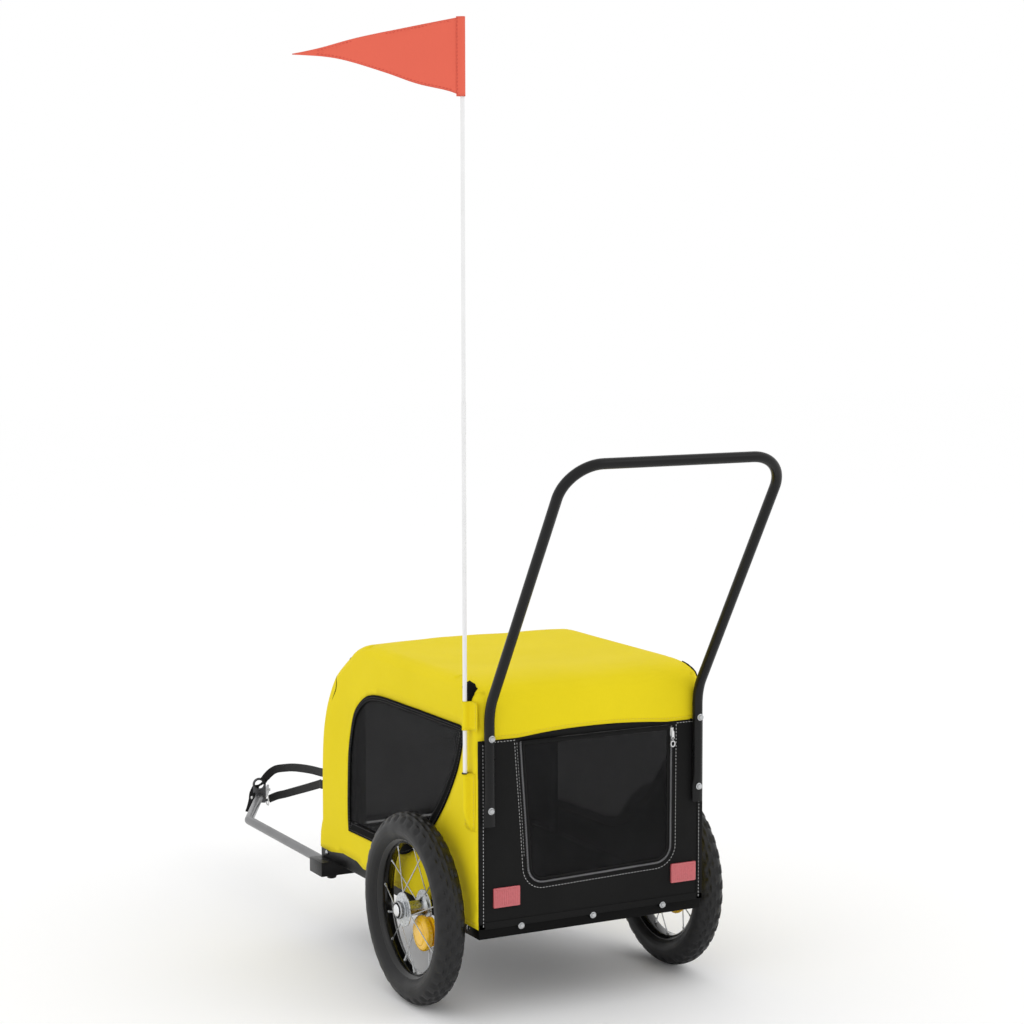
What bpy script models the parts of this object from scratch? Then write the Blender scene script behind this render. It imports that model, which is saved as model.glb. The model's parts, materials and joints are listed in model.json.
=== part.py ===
"""Two-wheeled fabric trailer for a bicycle, with push handle, tow arm and safety flag.

Metres, +Z up, +Y is the direction of travel, +X is the right-hand side.
The model is laid out in trailer coordinates: X = 0 is the middle plane, Y = 0 is
the wheel axle and Z = 0 is the ground. One empty then moves the whole trailer so
that the world origin is the middle of its box, on the ground.
"""
import math

import bmesh
import bpy
from mathutils import Matrix, Vector

# ---- driving dimensions -------------------------------------------------------
GAP = 0.0003               # between pieces that touch
SKIN = 0.0017              # fabric, doors and windows

WHEEL_R = 0.150            # 12 inch wheel, 47-203 tyre
TYRE_WIDTH = 0.046
TRACK_HALF = 0.2305        # middle plane of each wheel
RIM_R = 0.114
RIM_WIDTH = 0.027

RAIL = 0.025               # square tube of the base frame
BASE_Z = 0.133
BASE_HALF = 0.196
BASE_REAR = -0.156
BASE_FRONT = 0.4412

BODY_HALF = 0.198          # outside of the side walls
BODY_REAR = -0.158
BODY_FRONT = 0.443
HEM_Z = 0.149
PANEL_TOP = 0.4375         # black rear panel meets the yellow roof here

TUBE_R = 0.008             # handle, hoops and tow arm
HANDLE_HALF = 0.183
HANDLE_Y = -0.1668
HANDLE_FOOT_Z = 0.308
HANDLE_KINK_Z = 0.486
HANDLE_TOP = (-0.4056, 0.8687)
HANDLE_BEND = 0.058
HANDLE_BOLT_Z = (0.3326, 0.4425)

HOOP_HALF = 0.183
HOOP_REAR_Y = -0.145
HOOP_FRONT_Y = 0.300
HOOP_TOP_Z = 0.494

POLE_X = -0.2068
POLE_Y = -0.133
POLE_R = 0.0033
POLE_TOP = 1.505
POCKET_TOP = 0.386
FLAG_LOW = 1.390
FLAG_TOP = 1.506
FLAG_LENGTH = 0.250
FLAG_TURN = math.radians(20)      # the pennant points left and a little forward

ARM_PIVOT = (-0.190, 0.412)
ARM_Z = 0.1205
ARM_BEND = (-0.190, 0.795)
ARM_END = (-0.100, 0.967)
FORK_LENGTH = 0.075
FORK_HALF = 0.0115

HUB_HALF = 0.0225
HUB_FLANGE_R = 0.027
AXLE_R = 0.0052
SPOKES = 14
RIM_SIDES = 36             # tyre and rim share their facets

YELLOW = (0.78, 0.64, 0.010)
BLACK = (0.014, 0.014, 0.014)
MESH_GREY = (0.035, 0.035, 0.037)
STEEL = (0.45, 0.45, 0.46)
ZINC = (0.62, 0.63, 0.65)
AMBER = (0.85, 0.42, 0.02)
RED = (0.50, 0.10, 0.12)
ORANGE = (0.80, 0.16, 0.08)
WHITE = (0.85, 0.85, 0.85)
TYRE_BLACK = (0.02, 0.02, 0.02)


# ---- the scene, the trailer's own frame, materials ------------------------------
for old in list(bpy.data.objects):
    bpy.data.objects.remove(old, do_unlink=True)

FLAG_TIP_X = POLE_X - FLAG_LENGTH * math.cos(FLAG_TURN)
BUTTON_TIP = TRACK_HALF + HUB_HALF + 0.0093
FORK_DIR = (Vector(ARM_END) - Vector(ARM_BEND)).normalized()
NOSE_Y = ARM_END[1] + FORK_DIR.y * FORK_LENGTH + FORK_DIR.x * FORK_HALF
TAIL_Y = HANDLE_TOP[0] - TUBE_R
TRAILER_AT = (-(FLAG_TIP_X + BUTTON_TIP) / 2, -(NOSE_Y + TAIL_Y) / 2, 0.0)

trailer = bpy.data.objects.new("trailer_frame", None)
bpy.context.scene.collection.objects.link(trailer)
trailer.location = TRAILER_AT


def material(name, colour, roughness, metallic=0.0):
    mat = bpy.data.materials.new(name)
    mat.use_nodes = True
    shader = mat.node_tree.nodes["Principled BSDF"]
    shader.inputs["Base Color"].default_value = (*colour, 1.0)
    shader.inputs["Roughness"].default_value = roughness
    shader.inputs["Metallic"].default_value = metallic
    mat.diffuse_color = (*colour, 1.0)
    return mat


def add(name, bm, colour, roughness=0.6, metallic=0.0, at=(0, 0, 0), smooth=30):
    """Store a bmesh as one named object; `at` is its origin in trailer coordinates."""
    bmesh.ops.remove_doubles(bm, verts=bm.verts, dist=0.00001)
    bmesh.ops.recalc_face_normals(bm, faces=bm.faces)
    bm.transform(Matrix.Translation(-Vector(at)))
    mesh = bpy.data.meshes.new(name)
    bm.to_mesh(mesh)
    bm.free()
    mesh.shade_smooth()
    mesh.set_sharp_from_angle(angle=math.radians(smooth))
    mesh.materials.append(material(name, colour, roughness, metallic))
    obj = bpy.data.objects.new(name, mesh)
    bpy.context.scene.collection.objects.link(obj)
    obj.location = at
    obj.parent = trailer
    return obj


def tool(name, bm, at=(0, 0, 0)):
    """A cutter, or a body to be joined on: kept in the file but never a piece."""
    obj = add(name, bm, BLACK, at=at)
    obj.hide_render = True
    obj.display_type = 'WIRE'
    return obj


def boolean(obj, other, operation='DIFFERENCE', crossing=False):
    """Cut or join; `crossing` says that the other object's own bodies cross each other."""
    mod = obj.modifiers.new(operation.title(), 'BOOLEAN')
    mod.operation = operation
    mod.solver = 'EXACT'
    mod.use_self = crossing
    mod.object = other


# ---- shape makers ---------------------------------------------------------------
def box(low, high):
    bm = bmesh.new()
    bmesh.ops.create_cube(bm, size=1.0)
    size = Vector(high) - Vector(low)
    middle = (Vector(high) + Vector(low)) / 2
    bm.transform(Matrix.Translation(middle) @ Matrix.Diagonal((*size, 1.0)))
    return bm


def rounded_box(low, high, radius, segments=2, upright=None):
    """A box with bevelled edges; `upright` limits the bevel to edges along that axis."""
    bm = box(low, high)
    edges = bm.edges[:]
    if upright is not None:
        edges = [e for e in edges if abs((e.verts[1].co - e.verts[0].co).normalized()[upright]) > 0.99]
    bmesh.ops.bevel(bm, geom=edges, offset=radius, segments=segments, affect='EDGES', profile=0.5)
    return bm


def place(points, axis, depth):
    """Put 2D points in space: axis 'x' reads them as (y, z), 'y' as (x, z), 'z' as (x, y)."""
    if axis == 'x':
        return [(depth, a, b) for a, b in points]
    if axis == 'y':
        return [(a, depth, b) for a, b in points]
    return [(a, b, depth) for a, b in points]


def plate(outline, axis, low, high, holes=()):
    """A flat plate from an outline, with holes, between two depths along an axis."""
    bm = bmesh.new()
    for loop in (outline, *holes):
        verts = [bm.verts.new(p) for p in place(loop, axis, low)]
        for first, second in zip(verts, verts[1:] + verts[:1]):
            bm.edges.new((first, second))
    bmesh.ops.triangle_fill(bm, edges=bm.edges[:], use_beauty=True)
    bmesh.ops.dissolve_limit(bm, angle_limit=0.01, verts=bm.verts[:], edges=bm.edges[:])
    top = bmesh.ops.extrude_face_region(bm, geom=bm.faces[:])
    moved = [v for v in top["geom"] if isinstance(v, bmesh.types.BMVert)]
    shift = Vector(place([(0, 0)], axis, high - low)[0])
    bmesh.ops.translate(bm, vec=shift, verts=moved)
    return bm


def circle(centre, radius, count):
    steps = [2 * math.pi * i / count for i in range(count)]
    return [(centre[0] + radius * math.cos(a), centre[1] + radius * math.sin(a)) for a in steps]


def corner_arc(before, corner, after, radius, steps):
    """Points of a round corner, in 2D or 3D."""
    here = Vector(corner)
    back = (Vector(before) - here).normalized()
    ahead = (Vector(after) - here).normalized()
    half = back.angle(ahead) / 2
    reach = radius / math.tan(half)
    middle = here + (back + ahead).normalized() * (radius / math.sin(half))
    start = here + back * reach - middle
    end = here + ahead * reach - middle
    total = start.angle(end)
    points = []
    for i in range(steps + 1):
        t = i / steps
        mix = start * math.sin((1 - t) * total) + end * math.sin(t * total)
        points.append(tuple(middle + mix / math.sin(total)))
    return points


def rounded(corners, radii, steps=4):
    """A closed outline with each corner rounded by its own radius (0 keeps it sharp)."""
    points = []
    count = len(corners)
    for i, radius in enumerate(radii):
        if radius == 0:
            points.append(corners[i])
        else:
            points += corner_arc(corners[i - 1], corners[i], corners[(i + 1) % count], radius, steps)
    return points


def bent(route, radius, steps=4):
    """An open route whose inner corners are rounded."""
    points = [route[0]]
    for before, corner, after in zip(route, route[1:], route[2:]):
        points += corner_arc(before, corner, after, radius, steps)
    return points + [route[-1]]


def shifted(points, distance, closed=True):
    """A 2D line moved to its right by a distance; a counter-clockwise outline grows."""
    result = []
    count = len(points)
    for i, point in enumerate(points):
        here = Vector(point)
        before = Vector(points[i - 1]) if closed or i > 0 else None
        after = Vector(points[(i + 1) % count]) if closed or i < count - 1 else None
        lines = []
        if before is not None:
            lines.append((here - before).normalized())
        if after is not None:
            lines.append((after - here).normalized())
        normals = [Vector((d.y, -d.x)) for d in lines]
        middle = (normals[0] + normals[-1]).normalized()
        result.append(tuple(here + middle * (distance / max(0.3, middle.dot(normals[0])))))
    return result


def tube(route, radius, sides=10):
    """A solid round bar along a route, with flat ends."""
    points = [Vector(p) for p in route]
    bm = bmesh.new()
    rings = []
    side = None
    for i, point in enumerate(points):
        ahead = points[min(i + 1, len(points) - 1)] - point
        back = point - points[max(i - 1, 0)]
        along = (ahead.normalized() + back.normalized()).normalized()
        if side is None:
            side = along.orthogonal().normalized()
        side = (side - along * side.dot(along)).normalized()
        other = along.cross(side)
        stretch = 1.0
        if ahead.length > 0 and back.length > 0:
            stretch = 1 / max(0.5, math.cos(ahead.angle(back) / 2))
        ring = []
        for k in range(sides):
            turn = 2 * math.pi * (k + 0.5) / sides
            offset = side * math.cos(turn) + other * math.sin(turn)
            ring.append(bm.verts.new(point + offset * radius * (stretch if stretch < 1.02 else 1.0)))
        rings.append(ring)
    for first, second in zip(rings, rings[1:]):
        for k in range(sides):
            n = (k + 1) % sides
            bm.faces.new((first[k], first[n], second[n], second[k]))
    bm.faces.new(rings[0])
    bm.faces.new(rings[-1])
    return bm


def turned(profile, axis, centre, sides, closed=True):
    """Spin a profile of (distance along the axis, radius) about an axis through centre."""
    bm = bmesh.new()
    index = 'xyz'.index(axis)
    u = Vector((0, 0, 0))
    w = Vector((0, 0, 0))
    u[(index + 1) % 3] = 1
    w[(index + 2) % 3] = 1
    along = u.cross(w)
    rings = []
    for k in range(sides):
        turn = 2 * math.pi * k / sides
        out = u * math.cos(turn) + w * math.sin(turn)
        rings.append([bm.verts.new(Vector(centre) + along * a + out * r) for a, r in profile])
    last = len(profile) if closed else len(profile) - 1
    for k in range(sides):
        here = rings[k]
        there = rings[(k + 1) % sides]
        for i in range(last):
            n = (i + 1) % len(profile)
            bm.faces.new((here[i], here[n], there[n], there[i]))
    if not closed:
        bm.faces.new([ring[0] for ring in rings])
        bm.faces.new([ring[-1] for ring in rings])
    return bm


def merge(bm, *others):
    """Copy other bmeshes into bm, for bodies that a Boolean then reads together."""
    for other in others:
        mesh = bpy.data.meshes.new("part_of_tool")
        other.to_mesh(mesh)
        other.free()
        bm.from_mesh(mesh)
        bpy.data.meshes.remove(mesh)
    return bm


def rods(specs, radius, axis, sides=10):
    """Several straight round cutters along an axis; each spec is (centre, low, high)."""
    bars = [turned([(low, radius), (high, radius)], axis, centre, sides, closed=False)
            for centre, low, high in specs]
    return merge(*bars)


# ---- base frame and floor -------------------------------------------------------
def base_frame():
    outer = [(-BASE_HALF, BASE_REAR), (BASE_HALF, BASE_REAR), (BASE_HALF, BASE_FRONT), (-BASE_HALF, BASE_FRONT)]
    inner = BASE_HALF - RAIL
    bays = ((BASE_REAR + RAIL, -RAIL / 2), (RAIL / 2, BASE_FRONT - RAIL))
    holes = [[(-inner, lo), (inner, lo), (inner, hi), (-inner, hi)] for lo, hi in bays]
    frame = add("base_frame", plate(outer, 'z', BASE_Z, BASE_Z + RAIL, holes), BLACK, 0.4, 0.6)
    axle_holes = [((side * BASE_HALF, 0, WHEEL_R), -0.03, 0.03) for side in (-1, 1)]
    boolean(frame, tool("cut_axle_holes", rods(axle_holes, AXLE_R + 0.0004, 'x', 12)))
    screw_holes = [((x, BASE_REAR, RAIL_BOLT_Z), -0.01, 0.014) for x in RAIL_BOLT_X]
    boolean(frame, tool("cut_rail_bolts", rods(screw_holes, 0.0030, 'y', 8)))
    low = (-0.1740, BASE_REAR + 0.002, BASE_Z + RAIL + GAP)
    high = (0.1740, BASE_FRONT - 0.002, BASE_Z + RAIL + 0.005)
    add("floor_panel", box(low, high), BLACK, 0.8)


RAIL_BOLT_X = (-0.1253, 0.0, 0.1253)
RAIL_BOLT_Z = 0.1475


# ---- hoops, top bars and their corner joints ---------------------------------------
def hoops():
    foot = BASE_Z + RAIL + GAP
    for name, y in (("rear_hoop", HOOP_REAR_Y), ("front_hoop", HOOP_FRONT_Y)):
        route = [(-HOOP_HALF, y, foot), (-HOOP_HALF, y, HOOP_TOP_Z), (HOOP_HALF, y, HOOP_TOP_Z), (HOOP_HALF, y, foot)]
        hoop = add(name, tube(bent(route, 0.022, 4), TUBE_R), BLACK, 0.4, 0.5)
        if name == "rear_hoop":
            boolean(hoop, tool("cut_hoop_bolts", handle_bolt_cutters(0.0032)))
    joint = 0.033
    bore = TUBE_R + 0.0004
    for side, word in ((-1, "left"), (1, "right")):
        x = side * HOOP_HALF
        spans = (("rear", HOOP_REAR_Y + TUBE_R + 0.0006, 1), ("front", HOOP_FRONT_Y - TUBE_R - 0.0006, -1))
        ends = []
        for place_word, start, way in spans:
            finish = start + way * joint
            low = (x - 0.0120, min(start, finish), HOOP_TOP_Z - 0.0125)
            high = (x + 0.0120, max(start, finish), HOOP_TOP_Z + 0.0125)
            block = add(f"corner_joint_{place_word}_{word}", rounded_box(low, high, 0.003, 1), BLACK, 0.5)
            socket = start + way * 0.012
            cutter = rods([((x, socket, HOOP_TOP_Z), min(0, way * 0.03), max(0, way * 0.03))], bore, 'y', 12)
            boolean(block, tool(f"cut_corner_{place_word}_{word}", cutter))
            ends.append(socket + way * GAP)
        bar = [(x, ends[0], HOOP_TOP_Z), (x, ends[1], HOOP_TOP_Z)]
        add(f"top_bar_{word}", tube(bar, TUBE_R), BLACK, 0.4, 0.5)


# ---- the fabric shell -------------------------------------------------------------
# Side view of the shell, outside, as (y, z): up the rear flap, over the roof, down the nose.
ROOF_LINE = [(BODY_REAR, PANEL_TOP + 0.0005), (BODY_REAR, 0.488), (-0.154, 0.503), (-0.145, 0.513), (-0.128, 0.520),
             (-0.100, 0.524), (-0.070, 0.525), (0.240, 0.525), (0.268, 0.522), (0.300, 0.511), (0.321, 0.498),
             (0.350, 0.480), (0.376, 0.462)]
NOSE_LINE = [(0.376, 0.462), (0.391, 0.446), (0.402, 0.431), (0.420, 0.400), (0.434, 0.360), (0.440, 0.320),
             (0.4425, 0.270), (BODY_FRONT, 0.220), (BODY_FRONT, HEM_Z)]
DOOR_HALF = 0.135
DOOR_LOW = 0.176
DOOR_TOP = 0.431
ZIP = 0.0060               # width of a zip's tapes and teeth together

# Rear door: corners as (x, z), and the side windows' black border as (y, z).
REAR_DOOR = [(-0.124, 0.431), (-0.110, 0.213), (0.136, 0.219), (0.137, 0.431)]
REAR_DOOR_RADII = [0, 0.024, 0.024, 0]
WINDOW = [(-0.109, 0.447), (-0.106, 0.429), (-0.084, 0.380), (-0.045, 0.324), (-0.005, 0.281), (0.040, 0.243),
          (0.085, 0.217), (0.130, 0.206), (0.222, 0.204), (0.322, 0.202), (0.324, 0.239), (0.324, 0.286),
          (0.322, 0.335), (0.311, 0.372), (0.296, 0.403), (0.273, 0.426), (0.245, 0.4415), (0.206, 0.4485),
          (-0.097, 0.4505)]


# The side walls' hem lifts over the tow bracket and is cut out round the axle.
HEM_RISE = [(0.396, HEM_Z), (0.344, 0.1585), (0.288, 0.1570), (0.262, HEM_Z)]
AXLE_NOTCH = 0.0085


def ribbon(line, half_width, outside=0.0, thickness=SKIN):
    """A sheet that follows a side-view line, from -half_width to half_width in X."""
    outer = shifted(line, -outside, closed=False)
    inner = shifted(line, thickness - outside, closed=False)
    return plate(outer + inner[::-1], 'x', -half_width, half_width)


def clipped(line, low, high):
    """The part of a falling side-view line between two heights."""
    points = []
    for (y0, z0), (y1, z1) in zip(line, line[1:]):
        for limit in (high, low):
            if z0 >= limit > z1:
                t = (z0 - limit) / (z0 - z1)
                points.append((y0 + (y1 - y0) * t, limit))
        if low < z1 < high:
            points.append((y1, z1))
    return sorted(points, key=lambda p: -p[1])


def side_walls():
    profile = shifted(ROOF_LINE + NOSE_LINE[1:], SKIN + GAP, closed=False)
    top = [p for p in profile if p[1] > PANEL_TOP + 0.02 or p[0] > 0]
    rear = BASE_REAR + 0.0001
    notch = [(AXLE_NOTCH * math.cos(a), WHEEL_R + AXLE_NOTCH * math.sin(a))
             for a in [math.pi * i / 6 for i in range(7)]]
    outline = [(rear, HEM_Z), (rear, top[0][1])] + top + HEM_RISE
    outline += [(AXLE_NOTCH, HEM_Z)] + notch + [(-AXLE_NOTCH, HEM_Z)]
    for side, word in ((-1, "left"), (1, "right")):
        low, high = sorted((side * (BODY_HALF - SKIN), side * BODY_HALF))
        add(f"side_wall_{word}", plate(outline, 'x', low, high, [WINDOW]), YELLOW, 0.7)
        pane = shifted(WINDOW, -WINDING * GAP, closed=True)
        add(f"side_window_{word}", plate(pane, 'x', low, high), MESH_GREY, 0.8)


WINDING = 1 if sum(a[0] * b[1] - b[0] * a[1] for a, b in zip(WINDOW, WINDOW[1:] + WINDOW[:1])) > 0 else -1


def roof_and_nose():
    roof = add("roof_cover", ribbon(ROOF_LINE, BODY_HALF), YELLOW, 0.7)
    boolean(roof, tool("cut_flap_bolts", handle_bolt_cutters(0.0036)))
    nose = clipped(NOSE_LINE, HEM_Z - GAP, NOSE_LINE[0][1] - GAP)
    front = add("front_panel", ribbon(nose, BODY_HALF), YELLOW, 0.7)
    hole_half = DOOR_HALF + ZIP + 2 * GAP
    hole = box((-hole_half, 0.38, DOOR_LOW - ZIP - 2 * GAP), (hole_half, 0.46, DOOR_TOP + GAP))
    boolean(front, tool("cut_front_door", hole))

    door = ribbon(clipped(NOSE_LINE, DOOR_LOW, DOOR_TOP), DOOR_HALF)
    hinge = clipped(NOSE_LINE, DOOR_LOW, DOOR_TOP)[0]
    add("front_door", door, MESH_GREY, 0.8, at=(0, hinge[0], hinge[1]))
    tape_line = clipped(NOSE_LINE, DOOR_LOW - ZIP - GAP, DOOR_TOP)
    tape = add("front_zip", ribbon(tape_line, DOOR_HALF + ZIP + GAP, outside=0.0005), BLACK, 0.6)
    gap_half = DOOR_HALF + GAP
    boolean(tape, tool("cut_front_zip", box((-gap_half, 0.38, DOOR_LOW - GAP), (gap_half, 0.46, 0.50))))
    middle = DOOR_HALF + GAP + ZIP / 2
    low = (middle - 0.0028, BODY_FRONT + 0.0008, 0.186)
    high = (middle + 0.0028, BODY_FRONT + 0.0044, 0.198)
    add("front_zip_slider", rounded_box(low, high, 0.0008, 1), ZINC, 0.3, 1.0)


def rear_panel():
    inside = BODY_REAR + SKIN
    door = rounded(REAR_DOOR, REAR_DOOR_RADII)
    hole = shifted(door, ZIP + 2 * GAP)
    top = REAR_DOOR[0][1]
    hole = [(x, min(z, top + GAP)) for x, z in hole]
    outline = [(-BODY_HALF, BASE_Z), (BODY_HALF, BASE_Z), (BODY_HALF, PANEL_TOP), (-BODY_HALF, PANEL_TOP)]
    bolts = [circle((side * HANDLE_HALF, HANDLE_BOLT_Z[0]), 0.0036, 10) for side in (-1, 1)]
    bolts += [circle((x, RAIL_BOLT_Z), 0.0034, 10) for x in RAIL_BOLT_X]
    add("rear_panel", plate(outline, 'y', BODY_REAR, inside, [hole, *bolts]), BLACK, 0.8)
    add("rear_door", plate(door, 'y', BODY_REAR, inside), MESH_GREY, 0.8, at=(0, BODY_REAR, top))

    # The zip runs down one side of the door, round its foot and up the other side.
    outer = [(x, min(z, top)) for x, z in shifted(door, ZIP + GAP)]
    inner = [(x, min(z, top)) for x, z in shifted(door, GAP)]
    tape = outer + inner[::-1]
    add("rear_zip", plate(tape, 'y', BODY_REAR - 0.0005, inside), BLACK, 0.6)

    x = REAR_DOOR[3][0] + GAP + ZIP / 2
    front = BODY_REAR - 0.0005 - GAP
    add("rear_zip_slider", rounded_box((x - 0.0028, front - 0.0038, SLIDER_Z), (x + 0.0028, front, SLIDER_Z + 0.0125),
                                       0.0008, 1), ZINC, 0.3, 1.0, at=(x, front, SLIDER_Z))
    pull_y = front - 0.0038 - GAP - 0.0007
    pull = rounded([(x - 0.0026, SLIDER_Z - 0.017), (x + 0.0026, SLIDER_Z - 0.017),
                    (x + 0.0020, SLIDER_Z + 0.008), (x - 0.0020, SLIDER_Z + 0.008)], [0.0015] * 4, 2)
    hole = circle((x, SLIDER_Z - 0.0125), 0.0012, 6)
    add("rear_zip_puller", plate(pull, 'y', pull_y - 0.0007, pull_y + 0.0007, [hole]), WHITE, 0.3, 0.6,
        at=(x, pull_y, SLIDER_Z + 0.006))


SLIDER_Z = 0.4150


def pole_holder():
    """Sewn pocket and loop that hold the flag pole, on one strip of fabric down the wall."""
    outside = POLE_X - 0.0058
    wall = -BODY_HALF - GAP
    pocket = rounded_box((outside, -0.151, 0.300), (wall, -0.116, POCKET_TOP), 0.0035, 2, upright=2)
    holder = add("pole_holder", pocket, YELLOW, 0.7)
    loop = rounded_box((outside, -0.157, 0.456), (wall, -0.1185, 0.495), 0.0035, 2, upright=2)
    boolean(holder, tool("loop_body", loop), 'UNION')
    strip = box((wall - 0.0010, -0.148, 0.320), (wall, -0.122, 0.480))
    boolean(holder, tool("strip_body", strip), 'UNION')
    channels = [((POLE_X, POLE_Y, 0.0), 0.3355, 0.420), ((POLE_X, POLE_Y, 0.0), 0.440, 0.520)]
    boolean(holder, tool("cut_pole_holder", rods(channels, POLE_R + 0.0006, 'z', 12)))


# ---- handle and fasteners ------------------------------------------------------------
def handle_bolt_cutters(radius):
    specs = [((side * HANDLE_HALF, HANDLE_Y, z), -0.03, 0.06) for side in (-1, 1) for z in HANDLE_BOLT_Z]
    return rods(specs, radius, 'y', 10)


def handle():
    x = HANDLE_HALF
    top_y, top_z = HANDLE_TOP
    left = [(-x, HANDLE_Y, HANDLE_FOOT_Z), (-x, HANDLE_Y, HANDLE_KINK_Z), (-x, top_y, top_z)]
    route = left + [(-a, b, c) for a, b, c in left[::-1]]
    points = [route[0]]
    points += corner_arc(route[0], route[1], route[2], 0.080, 4)
    points += corner_arc(route[1], route[2], route[3], HANDLE_BEND, 7)
    points += corner_arc(route[2], route[3], route[4], HANDLE_BEND, 7)
    points += corner_arc(route[3], route[4], route[5], 0.080, 4)
    points.append(route[5])
    bar = add("handle_bar", tube(points, TUBE_R, 12), BLACK, 0.35, 0.3)
    boolean(bar, tool("cut_handle_bolts", handle_bolt_cutters(0.0034)))
    back = HANDLE_Y - TUBE_R - GAP
    hoop_front = HOOP_REAR_Y + TUBE_R + GAP
    for side, word in ((-1, "left"), (1, "right")):
        for z, level in zip(HANDLE_BOLT_Z, ("lower", "upper")):
            centre = (side * HANDLE_HALF, 0.0, z)
            profile = [(back - 0.0034, 0.0034), (back - 0.0022, 0.0055), (back, 0.0058), (back, 0.0028),
                       (hoop_front, 0.0028), (hoop_front, 0.0055), (hoop_front + 0.004, 0.0055)]
            bolt = turned(profile, 'y', centre, 10, closed=False)
            add(f"handle_bolt_{level}_{word}", bolt, ZINC, 0.3, 1.0, at=centre)


def rail_bolts():
    back = BODY_REAR - GAP
    for x, word in zip(RAIL_BOLT_X, ("left", "middle", "right")):
        profile = [(back - 0.0032, 0.0030), (back - 0.0020, 0.0052), (back, 0.0056), (back, 0.0027),
                   (BASE_REAR + 0.012, 0.0027)]
        add(f"rail_bolt_{word}", turned(profile, 'y', (x, 0, RAIL_BOLT_Z), 10, closed=False), ZINC, 0.3, 1.0)


def reflectors():
    for x, word in ((-0.1515, "left"), (0.1615, "right")):
        low = (x - 0.0225, BODY_REAR - GAP - 0.0052, 0.1805)
        high = (x + 0.0225, BODY_REAR - GAP, 0.2110)
        add(f"rear_reflector_{word}", rounded_box(low, high, 0.002, 1), RED, 0.25)


# ---- flag and pole -----------------------------------------------------------------
def flag():
    middle = 0.92
    lower = [(0.3360, POLE_R - 0.0006), (0.3366, POLE_R), (middle, POLE_R)]
    upper = [(middle + GAP, POLE_R - 0.0005), (POLE_TOP - 0.001, POLE_R - 0.0005), (POLE_TOP, POLE_R - 0.0015)]
    centre = (POLE_X, POLE_Y, 0)
    add("flag_pole_lower", turned(lower, 'z', centre, 12, closed=False), WHITE, 0.4, at=centre)
    add("flag_pole_upper", turned(upper, 'z', centre, 12, closed=False), WHITE, 0.4, at=centre)
    inner = POLE_R + 0.0003
    sleeve = [(FLAG_LOW, inner), (FLAG_LOW, inner + 0.0009), (FLAG_TOP, inner + 0.0009), (FLAG_TOP, inner)]
    cloth = add("flag", turned(sleeve, 'z', centre, 12), ORANGE, 0.7, at=centre)
    start = inner + 0.0005
    outline = [(-start, FLAG_LOW), (-start, FLAG_TOP - 0.0002), (-FLAG_LENGTH, 1.452), (-0.150, 1.418), (-0.085, 1.397)]
    pennant = plate(outline, 'y', -0.0005, 0.0005)
    pennant.transform(Matrix.Translation(centre) @ Matrix.Rotation(-FLAG_TURN, 4, 'Z'))
    boolean(cloth, tool("flag_cloth", pennant), 'UNION')


# ---- tow arm -----------------------------------------------------------------------
def tow_arm():
    x, y = ARM_PIVOT
    top = BASE_Z - GAP
    low = (-0.2180, 0.390, 0.1083)
    high = (-0.1520, BASE_FRONT, top)
    bracket = add("tow_bracket", box(low, high), BLACK, 0.4, 0.5)
    boolean(bracket, tool("cut_bracket", box((-0.2150, 0.393, 0.1113), (-0.1400, 0.460, top - 0.003))))
    boolean(bracket, tool("cut_bracket_bolt", rods([((x, y, 0.1), 0.0, 0.05)], 0.0045, 'z', 12)))
    bolt = [(0.1020, 0.0060), (0.1030, 0.0080), (0.1080, 0.0080), (0.1080, 0.0040), (top - 0.0005, 0.0040)]
    add("tow_pivot_bolt", turned(bolt, 'z', (x, y, 0), 12, closed=False), ZINC, 0.4, 1.0, at=(x, y, 0))

    start = (x, 0.400, ARM_Z)
    route = bent([start, (*ARM_BEND, ARM_Z), (*ARM_END, ARM_Z)], 0.022, 4)
    arm = add("tow_arm", tube(route, TUBE_R, 12), STEEL, 0.35, 0.9, at=(x, y, ARM_Z))
    boolean(arm, tool("cut_arm_bolt", rods([((x, y, 0.1), 0.0, 0.05)], 0.0045, 'z', 12)))
    hitch()


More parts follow.
